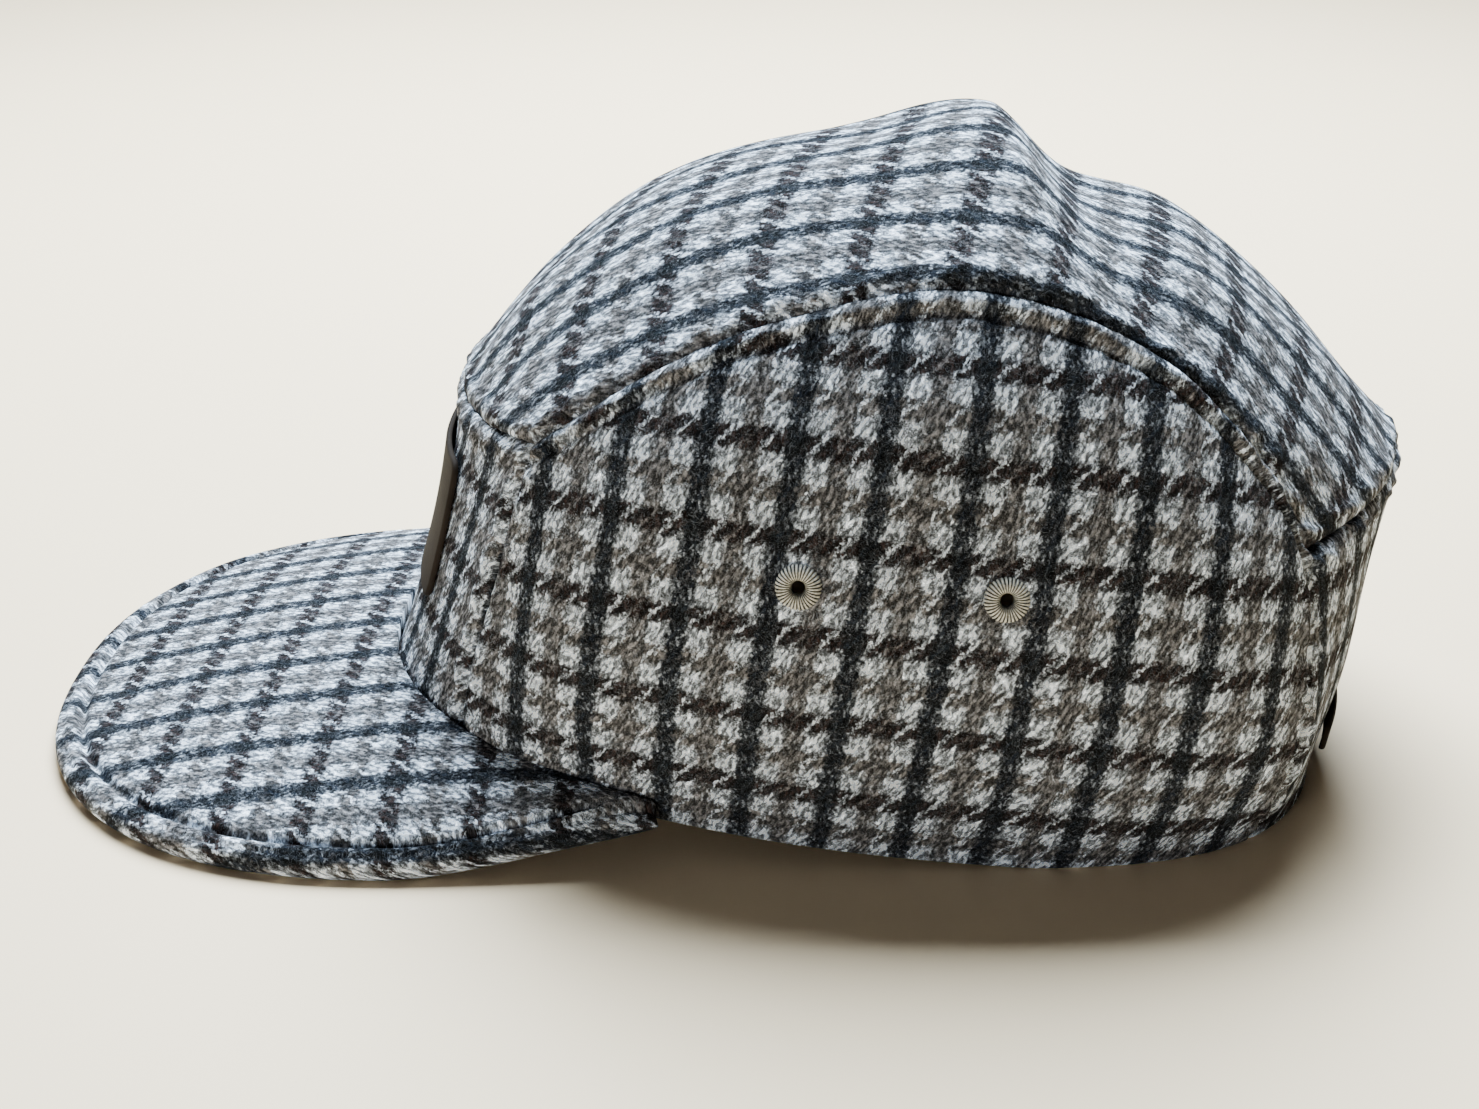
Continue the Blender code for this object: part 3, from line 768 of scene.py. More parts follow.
def wool_material(sizes, colours):
    """Brushed twill: woven yarns under curling loose fibres that carry their neighbours' colours."""
    s = Shader("brushed_check_wool")
    flat = s.node("ShaderNodeUVMap", uv_map="cloth")
    place = flat
    for drag in YARN_DRAGS:
        place = dragged(s, place, flat, drag)
    colour, yarn_round = woven(s, place, sizes, colours)
    grain = s.noise(flat, GRAIN, 2.0, 0.8)
    clumps = s.noise(flat, CLUMP, 2.0, 0.6)
    strokes = leaning_strokes(s, flat)
    # Painted highlight and painted shade on the floats, times random tone.
    colour = s.shaded(colour, yarn_shade(s, yarn_round, grain, clumps, strokes))
    loose = loose_fibres(s, flat, strokes, sizes, colours)
    curls = curled_lines(s, flat, FIBRE_CURLS)
    colour = s.mix(s.math("MULTIPLY_ADD", curls, CURL_COVER, LEAST_COVER), colour, loose)
    hairs = curled_lines(s, flat, HAIR_CURLS)
    colour = s.mix(s.math("MULTIPLY", hairs, HAIR_COVER), colour, (*colours.fibre, 1.0))
    height = s.math("ADD", s.math("MULTIPLY", yarn_round, 0.6), grain)
    height = s.math("ADD", height, clumps)
    height = s.math("ADD", height, s.math("MULTIPLY", curls, 0.5))
    return s.finish(
        Base_Color=colour,
        Roughness=0.95,
        IOR=SOFT_IOR,
        Sheen_Weight=0.01,
        Sheen_Roughness=0.6,
        Normal=s.bump(height, 0.9, 0.0004),
    )


def leather_material(colour):
    """Smooth leather with fine pores and slightly paler worn places."""
    s = Shader("smooth_leather")
    place = s.node("ShaderNodeTexCoord", output=3)
    cells = s.node("ShaderNodeTexVoronoi", {"Vector": place, "Scale": 2200.0})
    grain = s.solid_noise(place, 0.0008, 3.0, 0.6)
    tone = s.solid_noise(place, 0.012, 3.0, 0.6)
    pale = tuple(min(1.0, part * 1.45) for part in colour)
    mixed = s.mix(s.span(tone, 0.35, 0.75), (*colour, 1.0), (*pale, 1.0))
    height = s.math("ADD", s.math("MULTIPLY", cells, 0.6), grain)
    return s.finish(
        Base_Color=mixed,
        Roughness=0.7,
        IOR=SOFT_IOR,
        Normal=s.bump(height, 0.35, 0.00015),
    )


def thread_material(colour):
    """Embroidery thread with painted shade down in the gaps between its turns and inside the hole, and a
    painted highlight along the top of each turn.
    """
    s = Shader("wound_thread")
    place = s.node("ShaderNodeTexCoord", output=3)
    twist = s.solid_noise(place, 0.0005, 2.0, 0.6)
    raised, along = s.across_and_along(s.node("ShaderNodeUVMap", uv_map="cloth"))
    # Painted shade at the threads' sides and inside the hole, and painted highlight on their tops.
    shade = s.math("MULTIPLY", s.span(raised, 0.30, 1.0, 0.02, 1.30), s.span(along, 0.0, 0.55, 0.15, 1.0))
    shade = s.math("MULTIPLY", shade, s.span(twist, 0.35, 0.65, 0.6, 1.15))
    return s.finish(
        Base_Color=s.shaded((*colour, 1.0), shade),
        Roughness=0.5,
        Specular_IOR_Level=0.3,
        Normal=s.bump(twist, 0.4, 0.0001),
    )


def metal_material(colour):
    """Dark satin metal, a little scuffed."""
    s = Shader("satin_metal")
    place = s.node("ShaderNodeTexCoord", output=3)
    scuff = s.solid_noise(place, 0.002, 4.0, 0.7)
    return s.finish(
        Base_Color=(*colour, 1.0),
        Metallic=1.0,
        Roughness=s.span(scuff, 0.3, 0.7, 0.28, 0.5),
    )


def floor_material(colour):
    s = Shader("pale_floor")
    place = s.node("ShaderNodeTexCoord", output=3)
    tone = s.solid_noise(place, 0.15, 2.0, 0.5)
    dim = tuple(part * 0.97 for part in colour)
    mixed = s.mix(tone, (*dim, 1.0), (*colour, 1.0))
    return s.finish(Base_Color=mixed, Roughness=0.6, Specular_IOR_Level=0.3)


def material_named(name, make):
    """The material of that name, made at its first use."""
    return bpy.data.materials.get(name) or make()


# Settings


class CapSizes(bpy.types.PropertyGroup):
    """Sizes of the cloth, its seams and its thread."""

    repeat_across: FloatProperty(
        name="Check across", description="Repeat of the warp's stripes", default=0.0155, unit="LENGTH"
    )
    repeat_along: FloatProperty(
        name="Check along", description="Repeat of the weft's stripes", default=0.0163, unit="LENGTH"
    )
    mesh_step: FloatProperty(
        name="Mesh step", description="Size of the cloth's faces away from its seams",
        default=0.0013, unit="LENGTH"
    )
    seam_depth: FloatProperty(
        name="Seam depth", description="How far the cloth turns in at a seam",
        default=0.0012, unit="LENGTH"
    )
    stitch_place: FloatProperty(
        name="Topstitch place", description="From a seam to its row of stitches",
        default=0.0047, unit="LENGTH"
    )
    rim_width: FloatProperty(
        name="Peak's rim", description="From the peak's edge to its row of stitches",
        default=0.0058, unit="LENGTH"
    )
    eyelet_threads: IntProperty(
        name="Eyelet threads", description="Threads round each eyelet", default=34, min=12
    )


class CapColours(bpy.types.PropertyGroup):
    """Colours of the yarns, leather, thread, metal and floor."""

    white_yarn: FloatVectorProperty(
        name="White yarn", description="Light stripes both ways", subtype="COLOR",
        default=(0.53, 0.57, 0.63)
    )
    blue_yarn: FloatVectorProperty(
        name="Blue-black yarn", description="Dark stripes of the warp", subtype="COLOR",
        default=(0.0022, 0.0036, 0.0066)
    )
    taupe_yarn: FloatVectorProperty(
        name="Taupe yarn", description="Middle stripes of the warp", subtype="COLOR",
        default=(0.100, 0.094, 0.093)
    )
    brown_yarn: FloatVectorProperty(
        name="Brown yarn", description="Dark stripes of the weft", subtype="COLOR",
        default=(0.012, 0.0058, 0.0044)
    )
    tan_yarn: FloatVectorProperty(
        name="Tan yarn", description="Middle stripes of the weft", subtype="COLOR",
        default=(0.108, 0.099, 0.095)
    )
    fibre: FloatVectorProperty(
        name="Loose fibre", description="Brushed-up fibres", subtype="COLOR",
        default=(0.68, 0.74, 0.82)
    )
    leather: FloatVectorProperty(
        name="Leather", description="Label and strap", subtype="COLOR",
        default=(0.020, 0.015, 0.0115)
    )
    thread: FloatVectorProperty(
        name="Thread", description="Eyelets", subtype="COLOR", default=(0.50, 0.475, 0.40)
    )
    metal: FloatVectorProperty(
        name="Metal", description="The strap's slide", subtype="COLOR", default=(0.12, 0.11, 0.10)
    )
    floor: FloatVectorProperty(
        name="Floor", description="The pale floor", subtype="COLOR", default=(0.88, 0.665, 0.42)
    )


def cap_sizes():
    return bpy.context.scene.camp_cap_sizes


def cap_colours():
    return bpy.context.scene.camp_cap_colours


def wool():
    return material_named("brushed_check_wool", lambda: wool_material(cap_sizes(), cap_colours()))


def leather():
    return material_named("smooth_leather", lambda: leather_material(cap_colours().leather))


def eyelet_thread():
    return material_named("wound_thread", lambda: thread_material(cap_colours().thread))


def metal():
    return material_named("satin_metal", lambda: metal_material(cap_colours().metal))


# Crown panels

EDGE_STEPS = (0.00012, 0.00022, 0.00034, 0.0005) + 12 * (0.0006,)
# The cloth's soft sag everywhere, and its small lumps along a seam.
SAG = 0.00045
SAG_WAVE = 0.040
LUMP_WAVE = 0.0028
LUMP_SHARE = 0.4
LUMP_LIMITS = (0.4, 1.25)
LUMP_HEIGHT = 0.0002
LUMP_REACH = 0.003
# A seam's roll and fall, and the puffs and puckers beside it.
SEAM_ROLL = 0.0023
SEAM_FALL = 0.0006
SEAM_FALL_REACH = 0.0018
PUFF_HEIGHT = 0.0004
PUFF_PLACE = 0.0030
PUFF_WIDTH = 0.0018
PUCKER_STEP = 0.0078
PUCKER_WAVE = 0.020
# The welt between the arched seam and its topstitching, and the row of stitches.
WELT_HEIGHT = 0.0003
WELT_WIDTH = 0.0014
TOPSTITCH_DEPTH = 0.0011
TOPSTITCH_WIDTH = 0.0010
TOPSTITCH_STEP = 0.0046
HEM_ROLL = 0.0011
HEM_FADE = 0.004  # the relief fades over this length to the hem
CREASE_START = 0.555  # share of the top panel's length at which its crest is creased, at its middle
CREASE_SLANT = 0.03
CREASE_HEIGHT = 0.0008
CREASE_WIDTH = 0.0055
CREASE_ROUND = 0.0012
LAYOUT = 25  # columns and rows of the coarse net that is laid flat
EYELET_LEAN = 0.5 / 28  # share of the side panel, each way, over which an eyelet's lean is measured
EYELET_CUT = 0.3 * EYELET_DIAMETER  # radius cut out of the cloth, under the eyelet's threads

PanelPlan = namedtuple("PanelPlan", "surface across_sign turned sewn")
# across_sign is 1 where the surface's u runs to the viewer's right, seen from outside. turned marks
# the panel whose warp runs along u. sewn says which edges are seams: start, end, low and high.
PANELS = {
    "top_panel": PanelPlan(top_panel, 1, True, (1, 1, 1, 1)),
    "front_panel": PanelPlan(front_panel, 1, False, (1, 1, 0, 1)),
    "back_panel": PanelPlan(back_panel, -1, False, (1, 1, 0, 1)),
    "side_panel_left": PanelPlan(side_panel, 1, False, (1, 1, 0, 1)),
    "side_panel_right": PanelPlan(side_panel, -1, False, (1, 1, 0, 1)),
}


def cloth_place(flat, lay):
    """Where each point of a flat panel lies in the check, across and along the warp."""
    sizes = cap_sizes()
    flat = flat - flat.reshape(-1, 2).mean(0)
    across, up = flat[..., 0], flat[..., 1]
    warp_turn = np.radians(lay.warp_turn)
    weft_turn = np.radians(lay.weft_turn + 1000 * lay.weft_fan * up)
    warp = across * np.cos(warp_turn) + up * np.sin(warp_turn) - lay.warp_place / 1000
    weft = up * np.cos(weft_turn) - across * np.sin(weft_turn) - lay.weft_place / 1000
    warp = (1000 * warp / lay.warp_step + DARK_STRIPE) * sizes.repeat_across
    weft = (1000 * weft / lay.weft_step + DARK_STRIPE) * sizes.repeat_along
    return np.stack([warp, weft], -1)


def panel_layout(name, us, vs):
    """Each point's place in the flat cloth: across the warp to the right, and along it."""
    plan = PANELS[name]
    even = np.linspace(0, 1, LAYOUT)
    flat = flattened(net(plan.surface, even, even))
    if plan.turned:
        flat = flat[..., ::-1]
    flat = flat * (plan.across_sign, 1)
    return cloth_place(read_net(flat, us, vs), LAYS[name])


def seam_relief(distance, flat):
    """The cloth's puffs beside a seam, and how it falls to the seam."""
    run = flat.sum(-1)
    pucker = np.sin(2 * np.pi * run / PUCKER_STEP + 3 * ripple(flat, PUCKER_WAVE, 11))
    puffs = PUFF_HEIGHT * (1 + pucker) * groove(distance, PUFF_PLACE, PUFF_WIDTH)
    return puffs - SEAM_FALL * np.exp(-distance / SEAM_FALL_REACH)


def crest_relief(us, vs):
    """The crease over the crest of the top panel, and the hollow behind it."""
    crease = CREASE_START + CREASE_SLANT * np.abs(2 * vs - 1)
    beyond = (us[:, None] - crease) * CROWN_LENGTH
    sharp = np.sqrt(beyond**2 + CREASE_ROUND**2) - CREASE_ROUND
    fold = CREASE_HEIGHT * np.exp(-sharp / CREASE_WIDTH)
    return fold - 0.2 * CREASE_HEIGHT * groove(beyond, 2.6 * CREASE_WIDTH, 1.6 * CREASE_WIDTH)


def panel_relief(name, points, flat):
    """How far the cloth stands over its plain surface, and how far its seams and hem turn in."""
    sizes = cap_sizes()
    start, low = ways_along(points, 0), ways_along(points, 1)
    end, high = start[-1:] - start, low[:, -1:] - low
    seams_in, hem_in = np.zeros(points.shape[:2]), np.zeros(points.shape[:2])
    relief = SAG * ripple(flat, SAG_WAVE, 3)
    lumps = ripple(flat, LUMP_WAVE, 21)
    for distance, sewn in zip((start, end, low, high), PANELS[name].sewn):
        if sewn:
            turned_in = rolled(distance, SEAM_ROLL, sizes.seam_depth)
            seams_in = np.maximum(seams_in, turned_in * np.clip(1 + LUMP_SHARE * lumps, *LUMP_LIMITS))
            relief += seam_relief(distance, flat) + LUMP_HEIGHT * lumps * np.exp(-distance / LUMP_REACH)
        else:
            hem_in = np.maximum(hem_in, rolled(distance, HEM_ROLL, 0.92 * HEM_ROLL))
            relief *= smooth_step(distance / HEM_FADE)
    if name.startswith("side"):
        relief += WELT_HEIGHT * groove(high, sizes.stitch_place / 2, WELT_WIDTH)
        stitched = 1 + 0.3 * np.sin(2 * np.pi * flat.sum(-1) / TOPSTITCH_STEP)
        relief -= TOPSTITCH_DEPTH * stitched * groove(high, 1.1 * sizes.stitch_place, TOPSTITCH_WIDTH)
    return relief, seams_in, hem_in


def eyelet_frame(place, side):
    """Where an eyelet sits: its middle on the panel's outer face, and the way out of the cloth."""
    around = EYELET_LEAN * np.array([-1, 0, 1])
    face = net(side_panel, place.along + around, place.up + around)
    flip = np.array((side, 1, 1))
    return face[1, 1] * flip, outward_normals(face)[1, 1] * flip


def crown_panel(name):
    """One panel of the crown, as a wall of cloth with rolled edges."""
    plan = PANELS[name]
    sizes = cap_sizes()
    t = np.linspace(0, 1, FINE)
    half = np.full(FINE, 0.5)
    us = close_at_ends(length_of(plan.surface(t, half)), EDGE_STEPS, sizes.mesh_step)
    vs = close_at_ends(length_of(plan.surface(half, t)), EDGE_STEPS, sizes.mesh_step)
    points = net(plan.surface, us, vs)
    flat = panel_layout(name, us, vs)
    relief, seams_in, hem_in = panel_relief(name, points, flat)
    if name == "top_panel":
        relief += crest_relief(us, vs)
    outer = points + relief[..., None] * outward_normals(points)
    outer = outer + np.maximum(seams_in, hem_in)[..., None] * inward(points)
    inner = points + (WALL - 0.6 * hem_in)[..., None] * inward(points)
    holes = []
    if name.startswith("side"):
        holes = [(eyelet_frame(place, 1)[0], EYELET_CUT) for place in EYELETS]
    if name == "side_panel_right":
        outer, inner = mirrored(outer), mirrored(inner)
        holes = [(middle * (-1, 1, 1), radius) for middle, radius in holes]
    return wall(name.replace("panel", "cloth"), outer, inner, flat, wool(), holes)


def opening_cutter():
    """An arched block through the middle of the back panel's lower edge."""
    turn = np.linspace(0, np.pi, 97)
    x = OPENING_WIDTH / 2 * np.cos(turn)
    z = OPENING_HEIGHT * np.sin(turn)
    x = np.concatenate([x[:1], x, x[-1:]])
    z = np.concatenate([[-OPENING_HEIGHT / 4], z, [-OPENING_HEIGHT / 4]])
    back = hem([180.0])[0, 1]
    near = np.stack([x, np.full_like(x, back - OPENING_HEIGHT), z], -1)
    far = np.stack([x, np.full_like(x, back + OPENING_HEIGHT), z], -1)
    return tube("opening_cutter", np.stack([near, far]), wool())


def cut_opening(panel):
    cutter = opening_cutter()
    boolean = panel.modifiers.new("opening", "BOOLEAN")
    boolean.operation = "DIFFERENCE"
    boolean.object = cutter
    applied(panel)
    bpy.data.objects.remove(cutter)


class CAMPCAP_OT_crown(bpy.types.Operator):
    """Makes the crown's five panels of cloth"""

    bl_idname = "campcap.crown"
    bl_label = "Crown panels"

    def execute(self, context):
        for name in PANELS:
            panel = crown_panel(name)
            if name == "back_panel":
                cut_opening(panel)
            placed(panel, name)
        return {"FINISHED"}


# Peak


def crown_foot(turn, height):
    """The crown's outer face round the hem, by degrees from the front centre and height over it."""
    in_front = np.abs(turn) <= FRONT_SEAM_TURN
    front_u = np.clip((turn / FRONT_SEAM_TURN + 1) / 2, 0, 1)
    side_u = (np.abs(turn) - FRONT_SEAM_TURN) / (BACK_SEAM_TURN - FRONT_SEAM_TURN)
    side_u = np.clip(side_u, 0, 1)
    rise = np.full_like(turn, max(height, 0) / (ARCH[0].up * CROWN_HEIGHT - HEM_LIFT))
    side = side_panel(side_u, rise)
    side[:, 0] *= np.sign(turn)
    return np.where(in_front[:, None], front_panel(front_u, rise), side)


def evenly(points, count):
    """The curve's points again, at even steps along it."""
    steps = np.linalg.norm(np.diff(points, axis=0), axis=1)
    way = np.concatenate([[0], np.cumsum(steps)])
    at = np.linspace(0, way[-1], count)
    return np.stack([np.interp(at, way, points[:, axis]) for axis in range(3)], -1)


def clear_of(points):
    """A level curve set off outward by the clearance."""
    along = np.gradient(points, axis=0)
    out = np.stack([along[:, 1], -along[:, 0], 0 * along[:, 0]], -1)
    return points + CLEARANCE * out / np.linalg.norm(out, axis=1, keepdims=True)


PEAK_COLUMNS = 360
PEAK_NOSE = 0.011  # over this length the peak thins to each rear corner
PEAK_STEPS = 18 * (0.00045,)
ROLL_STEPS = 16
# The rim's fullness, the channel of its stitches, and how uneven both are.
RIM_HEIGHT = 0.0006
RIM_ROUND = 0.0020
CHANNEL_DEPTH = 0.0016
CHANNEL_WIDTH = 0.0009
UNDER_CHANNEL = 0.7  # depth of the channel below, beside the one above
RIM_UNEVEN = 0.15
RIM_WAVE = 0.03
CORNER_THICKNESS = 0.25  # share of the peak's thickness left at its rear corners


def peak_root(height):
    """The peak's root along the crown, from the right end to the left, clear of the cloth."""
    turn = np.linspace(-PEAK_ROOT_TURN, PEAK_ROOT_TURN, 5 * FINE)
    foot = crown_foot(turn, height)
    foot[:, 2] = hem(turn)[:, 2] + height
    return evenly(clear_of(foot), PEAK_COLUMNS + 1)


def peak_edge():
    """The peak's outer edge at mid thickness, from the right rear corner to the left."""
    half = PEAK_THICKNESS / 2
    half_width = HEM_WIDTH / 2 + PEAK_FLARE
    widest_y = FRONT_Y + PEAK_WIDEST
    angle = np.linspace(-np.pi / 2, np.pi / 2, 5 * FINE)
    x = half_width * np.sign(angle) * np.abs(np.sin(angle)) ** (2 / PEAK_POWER)
    y = widest_y - (PEAK_REACH + PEAK_WIDEST) * np.cos(angle) ** (2 / PEAK_POWER)
    end_x, end_y, _ = peak_root(PEAK_SEAT + half)[-1]
    end_x += half + PEAK_CORNER_REACH
    t = np.linspace(0, 1, FINE)[1:]
    side_x = half_width + (end_x - half_width) * t**PEAK_TAPER_POWER
    side_y = widest_y + (end_y - widest_y) * t
    x = np.concatenate([-side_x[::-1], x, side_x])
    y = np.concatenate([side_y[::-1], y, side_y])
    lift_y = FRONT_Y + PEAK_LIFT_START
    z = half + PEAK_LIFT * smooth_step((y - lift_y) / (end_y - lift_y))
    return evenly(np.stack([x, y, z], -1), PEAK_COLUMNS + 1)


def rim_relief(from_edge, width):
    """The rim's fullness, and the channel of its stitches inside it."""
    sizes = cap_sizes()
    there = smooth_step((width - sizes.rim_width) / sizes.rim_width)
    full = RIM_HEIGHT * there * groove(from_edge, 0.5 * sizes.rim_width, RIM_ROUND)
    channel = CHANNEL_DEPTH * there * groove(from_edge, sizes.rim_width, CHANNEL_WIDTH)
    return full, channel


def half_thickness(edge):
    """Half the peak's thickness along its edge, thinner at the rear corners."""
    from_end = np.minimum(ways_along(edge, 0), length_of(edge) - ways_along(edge, 0))
    nose = np.sqrt(1 - np.clip(1 - from_end / PEAK_NOSE, 0, 1) ** 2)
    return PEAK_THICKNESS / 2 * (CORNER_THICKNESS + (1 - CORNER_THICKNESS) * nose)


def peak_faces(root, roll, edge, thick):
    """The upper and lower face, as lines from the root to the rolled edge, with their flat cloth."""
    width = np.linalg.norm(roll - root, axis=1)
    full_ripple = 1 + RIM_UNEVEN * ripple(edge[:, :2], RIM_WAVE, 5)
    channel_ripple = 1 + RIM_UNEVEN * ripple(edge[:, :2], RIM_WAVE, 6)
    over, under = [], []
    for share in close_at_ends(width.max(), PEAK_STEPS, cap_sizes().mesh_step):
        line = root + (roll - root) * share
        full, channel = rim_relief(PEAK_THICKNESS / 2 + (1 - share) * width, width)
        puff = full * full_ripple - channel * channel_ripple
        camber = PEAK_CAMBER * 4 * share * (1 - share)
        flat = line[:, :2]
        over.append((line + UP * (thick + camber + puff)[:, None], flat))
        below = thick - camber - UNDER_CHANNEL * channel
        under.append((line - UP * below[:, None], flat * (1, -1)))
    return over, under


def peak_sections():
    """The peak's closed sections from the right rear corner to the left, and their flat cloth."""
    half = PEAK_THICKNESS / 2
    edge = peak_edge()
    root = peak_root(PEAK_SEAT + half)
    thick = half_thickness(edge)
    out = edge - peak_root(0)
    out[:, 2] = 0
    out /= np.linalg.norm(out, axis=1, keepdims=True)
    roll = edge - half * out
    over, under = peak_faces(root, roll, edge, thick)
    round_edge = []
    for turn in np.linspace(np.pi / 2, -np.pi / 2, ROLL_STEPS + 1)[1:-1]:
        line = roll + half * np.cos(turn) * out + UP * (thick * np.sin(turn))[:, None]
        round_edge.append((line, (roll + half * (np.pi / 2 - turn) * out)[:, :2]))
    closing = [(root, root[:, :2])]
    lines, flats = zip(*(over + round_edge + under[::-1] + closing))
    return np.stack(lines, 1), cloth_place(np.stack(flats, 1), LAYS["peak"])


class CAMPCAP_OT_peak(bpy.types.Operator):
    """Makes the peak, its cloth rolled over the edge and stitched"""

    bl_idname = "campcap.peak"
    bl_label = "Peak"

    def execute(self, context):
        rings, flat = peak_sections()
        placed(tube("peak_cloth", rings, wool(), flat), "peak")
        return {"FINISHED"}


# Leather

LEATHER_EDGE_STEPS = (0.00012, 0.0002, 0.00028, 0.0006, 0.0008)
LEATHER_STEP = 0.0012
LEATHER_ROUND = 0.0006


def share_at(surface, x, v):
    """The share u at which a front or back panel reaches x, for each pair of x and v."""
    t = np.linspace(0, 1, FINE)
    return np.array([np.interp(a, surface(t, np.full(FINE, b))[:, 0], t) for a, b in zip(x, v)])


def rounded(x, y, half_width, half_height, corner):
    """Points of a rectangle's grid, with those in its corners drawn in to a round corner."""
    past_x = np.maximum(np.abs(x) - (half_width - corner), 0)
    past_y = np.maximum(np.abs(y) - (half_height - corner), 0)
    most = np.maximum(past_x, past_y)
    spread = np.hypot(past_x, past_y)
    pull = np.divide(most, spread, out=np.ones_like(most), where=spread > 0)
    new_x = np.sign(x) * (np.abs(x) - past_x * (1 - pull))
    new_y = np.sign(y) * (np.abs(y) - past_y * (1 - pull))
    return new_x, new_y


def laid_net(surface, width, height, middle, corner):
    """A round-cornered patch on a panel: its points on the panel's outer face."""
    t = np.linspace(0, 1, FINE)
    panel_height = length_of(surface(np.full(FINE, 0.5), t))
    xs = (close_at_ends(width, LEATHER_EDGE_STEPS, LEATHER_STEP) - 0.5) * width
    ys = (close_at_ends(height, LEATHER_EDGE_STEPS, LEATHER_STEP) - 0.5) * height
    x, y = np.meshgrid(xs, ys, indexing="ij")
    x, y = rounded(x, y, width / 2, height / 2, corner)
    v = ((y + middle) / panel_height).ravel()
    u = share_at(surface, x.ravel(), v)
    return surface(u, v).reshape(len(xs), len(ys), 3), np.stack([x, y], -1)


def leather_patch(name, face, flat, thickness):
    """A piece of leather on a panel, its edges rounded over."""
    out = outward_normals(face)
    start, low = ways_along(flat, 0), ways_along(flat, 1)
    distance = np.minimum(np.minimum(start, start[-1:] - start), np.minimum(low, low[:, -1:] - low))
    drop = rolled(distance, LEATHER_ROUND, 0.45 * thickness)[..., None]
    far = face + (CLEARANCE + thickness - drop) * out
    near = face + (CLEARANCE + 0.3 * drop) * out
    return wall(name, far, near, flat, leather())


class CAMPCAP_OT_leather(bpy.types.Operator):
    """Makes the bare label and the rear strap"""

    bl_idname = "campcap.leather"
    bl_label = "Label and strap"

    def execute(self, context):
        middle = LABEL_RISE + LABEL_HEIGHT / 2
        face, flat = laid_net(front_panel, LABEL_WIDTH, LABEL_HEIGHT, middle, LABEL_CORNER)
        label = leather_patch("leather_label", face, flat, LABEL_THICKNESS)
        placed(label, "front_label")
        width = OPENING_WIDTH + 2 * STRAP_LAP
        face, flat = laid_net(back_panel, width, STRAP_WIDTH, STRAP_HEIGHT, STRAP_CORNER)
        strap = leather_patch("leather_strap", face, flat, STRAP_THICKNESS)
        placed(strap, "rear_strap")
        return {"FINISHED"}


# Slide

SLIDE_BEVEL = 0.0003


class CAMPCAP_OT_slide(bpy.types.Operator):
    """Rounds the edges of the strap's metal slide"""

    bl_idname = "campcap.slide"
    bl_label = "Slide"

    def execute(self, context):
        bm = bmesh.new()
        bm.from_mesh(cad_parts["strap_slide"].data)
        bmesh.ops.remove_doubles(bm, verts=bm.verts, dist=1e-6)
        bmesh.ops.dissolve_limit(bm, angle_limit=0.02, verts=bm.verts, edges=bm.edges)
        bmesh.ops.bevel(
            bm, geom=bm.edges[:], offset=SLIDE_BEVEL, offset_type="OFFSET", segments=3,
            profile=0.5, affect="EDGES", material=-1, clamp_overlap=True,
        )
        bmesh.ops.recalc_face_normals(bm, faces=bm.faces)
        mesh = mesh_from(bm, "metal_slide")
        face_out(mesh)
        placed(new_object("metal_slide", mesh, metal()), "strap_slide")
        return {"FINISHED"}


# Eyelets

ThreadPoint = namedtuple("ThreadPoint", "out up")
# One thread of an eyelet from inside the hole, over the ring and down to the cloth, in millimetres.
THREAD_PATH = (
    ThreadPoint(1.65, -1.9),
    ThreadPoint(1.42, -0.6),
    ThreadPoint(1.52, 0.40),
    ThreadPoint(1.95, 0.98),
    ThreadPoint(2.60, 1.12),
    ThreadPoint(3.20, 0.90),
    ThreadPoint(3.72, 0.40),
    ThreadPoint(3.92, -0.35),
)
THREAD_SIDES = 8
THREAD_STEPS = 16
THREAD_FILL = 0.86  # share of the ring that its threads fill
THREAD_HALF = 0.00024  # half a thread's height


def standing_on(middle, out):
    """The matrix that carries +Z to the way out and the origin to the middle."""
    right = np.cross(UP, out)
    right /= np.linalg.norm(right)
    matrix = Matrix.Identity(4)
    matrix.col[0][:3] = right
    matrix.col[1][:3] = np.cross(out, right)
    matrix.col[2][:3] = out
    matrix.col[3][:3] = middle
    return matrix


def eyelet_thread_rings(inner_share):
    """Sections of one thread along its path, and how raised and how far along each point lies."""
    shares = np.linspace(0, 1, THREAD_STEPS)
    path = spline(THREAD_PATH, shares) / 1000
    along = np.gradient(path, axis=0)
    along /= np.linalg.norm(along, axis=1, keepdims=True)
    turns = np.linspace(0, 2 * np.pi, THREAD_SIDES, endpoint=False)
    rings, places = [], []
    for (out, up), (ahead, rise), share in zip(path, along, shares):
        wide = inner_share * out
        ring = []
        for turn in turns:
            side, lift = wide * np.cos(turn), THREAD_HALF * np.sin(turn)
            ring.append((out - rise * lift, side, up + ahead * lift))
        rings.append(ring)
        # How raised and how far along each point lies: these set the thread's painted shade and
        # highlight.
        places.append([(np.sin(turn), share) for turn in turns])
    return np.array(rings), np.array(places)


def eyelet(name, place, side):
    """A ring of threads wrapped over the edge of the hole."""
    threads = cap_sizes().eyelet_threads
    rings, places = eyelet_thread_rings(THREAD_FILL * np.pi / threads)
    ring = tube(name, rings, eyelet_thread(), places)
    bm = bmesh.new()
    bm.from_mesh(ring.data)
    bmesh.ops.spin(
        bm, geom=bm.verts[:] + bm.edges[:] + bm.faces[:], cent=(0, 0, 0), axis=(0, 0, 1),
        angle=2 * np.pi * (threads - 1) / threads, steps=threads - 1, use_duplicate=True,
    )
    bmesh.ops.transform(bm, matrix=standing_on(*eyelet_frame(place, side)), verts=bm.verts)
    bm.to_mesh(ring.data)
    bm.free()
    face_out(ring.data)
    return ring


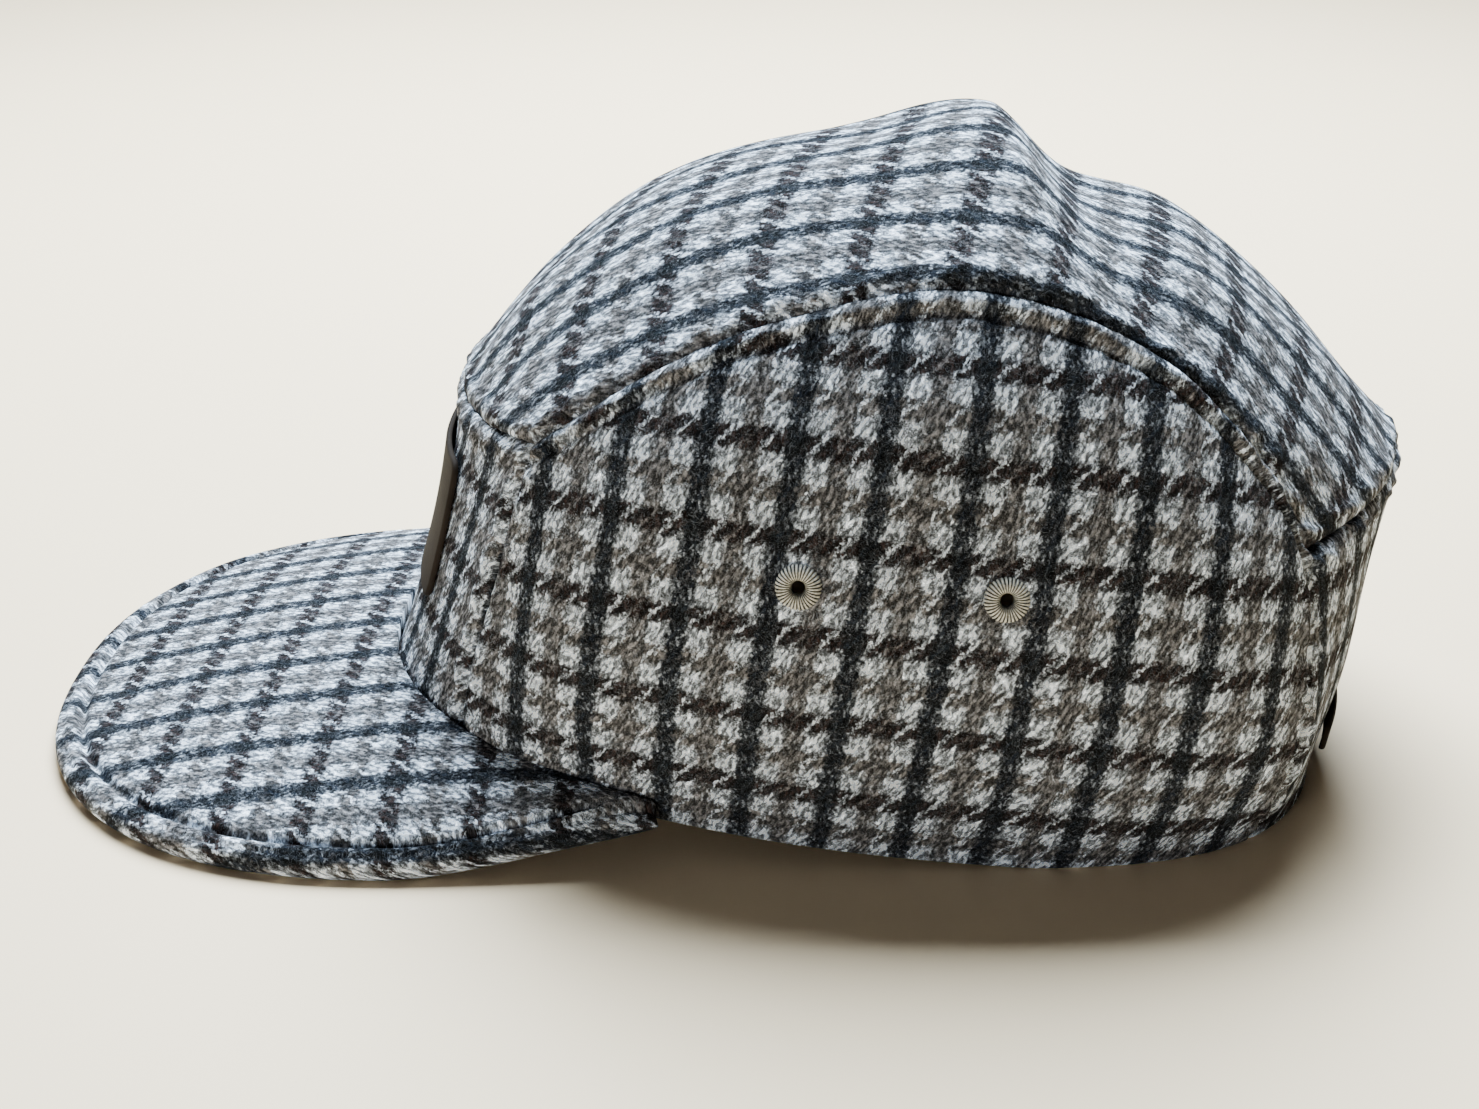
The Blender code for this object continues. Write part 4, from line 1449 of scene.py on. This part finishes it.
class CAMPCAP_OT_eyelets(bpy.types.Operator):
    """Makes the four thread-wrapped eyelets"""

    bl_idname = "campcap.eyelets"
    bl_label = "Eyelets"

    def execute(self, context):
        for side, word in ((1, "left"), (-1, "right")):
            for place in EYELETS:
                ring = eyelet(f"stitched_eyelet_{word}_{place.name}", place, side)
                placed(ring, f"eyelet_{word}_{place.name}")
        return {"FINISHED"}


# Stage

CAMERA_AIM = (0.0, 0.00508, 0.03224)
CAMERA_DISTANCE = 0.4316
CAMERA_PITCH = 25.0
CAMERA_LENS = 49.92
FLOOR_SIZE = 3.0  # half its width
ROOM_COLOUR = (0.86, 0.90, 0.95, 1.0)
ROOM_STRENGTH = 0.04

Lamp = namedtuple("Lamp", "name place size energy colour")
LAMPS = (
    Lamp("window_light", (-0.55, 0.00, 0.90), 0.7, 88.0, (0.71, 0.855, 1.0)),
    Lamp("room_light", (0.84, -0.52, 0.11), 0.22, 3.6, (0.88, 0.95, 1.0)),
)


def aimed(obj, place, target):
    obj.location = place
    way = Vector(target) - Vector(place)
    obj.rotation_euler = way.to_track_quat("-Z", "Y").to_euler()
    bpy.context.scene.collection.objects.link(obj)
    return obj


def make_floor():
    bm = bmesh.new()
    bmesh.ops.create_grid(bm, x_segments=1, y_segments=1, size=FLOOR_SIZE)
    mesh = mesh_from(bm, "pale_floor")
    new_object("pale_floor", mesh, floor_material(cap_colours().floor))


def make_lamps():
    for lamp in LAMPS:
        light = bpy.data.lights.new(lamp.name, "AREA")
        light.size = lamp.size
        light.energy = lamp.energy
        light.color = lamp.colour
        aimed(bpy.data.objects.new(lamp.name, light), lamp.place, CAMERA_AIM)


def soft_room():
    """A faint even light from all sides."""
    world = bpy.data.worlds.new("soft_room")
    world.use_nodes = True
    background = world.node_tree.nodes["Background"]
    background.inputs["Color"].default_value = ROOM_COLOUR
    background.inputs["Strength"].default_value = ROOM_STRENGTH
    return world


def make_camera():
    camera = bpy.data.cameras.new("camera")
    camera.lens = CAMERA_LENS
    camera.sensor_fit = "HORIZONTAL"
    pitch = np.radians(CAMERA_PITCH)
    away = CAMERA_DISTANCE * np.array((np.cos(pitch), 0.0, np.sin(pitch)))
    return aimed(bpy.data.objects.new("camera", camera), CAMERA_AIM + away, CAMERA_AIM)


class CAMPCAP_OT_stage(bpy.types.Operator):
    """Makes the pale floor, the soft light and the camera"""

    bl_idname = "campcap.stage"
    bl_label = "Stage"

    def execute(self, context):
        make_floor()
        make_lamps()
        context.scene.world = soft_room()
        context.scene.camera = make_camera()
        return {"FINISHED"}


# Panel and registration

PIECES = (
    CAMPCAP_OT_crown,
    CAMPCAP_OT_peak,
    CAMPCAP_OT_leather,
    CAMPCAP_OT_slide,
    CAMPCAP_OT_eyelets,
    CAMPCAP_OT_stage,
)


class CAMPCAP_PT_cap(bpy.types.Panel):
    """Lists the cap's pieces, sizes and colours"""

    bl_idname = "CAMPCAP_PT_cap"
    bl_label = "Camp cap"
    bl_space_type = "VIEW_3D"
    bl_region_type = "UI"
    bl_category = "Camp cap"

    def draw(self, context):
        for piece in PIECES:
            self.layout.operator(piece.bl_idname)
        for group in (cap_sizes(), cap_colours()):
            for name in group.__annotations__:
                self.layout.prop(group, name)


CLASSES = (CapSizes, CapColours, *PIECES, CAMPCAP_PT_cap)


def register():
    for item in CLASSES:
        bpy.utils.register_class(item)
    bpy.types.Scene.camp_cap_sizes = PointerProperty(type=CapSizes)
    bpy.types.Scene.camp_cap_colours = PointerProperty(type=CapColours)


def unregister():
    del bpy.types.Scene.camp_cap_colours
    del bpy.types.Scene.camp_cap_sizes
    for item in reversed(CLASSES):
        bpy.utils.unregister_class(item)


def main():
    register()
    bpy.ops.campcap.crown()
    bpy.ops.campcap.peak()
    bpy.ops.campcap.leather()
    bpy.ops.campcap.slide()
    bpy.ops.campcap.eyelets()
    bpy.ops.campcap.stage()


if __name__ == "__main__":
    main()
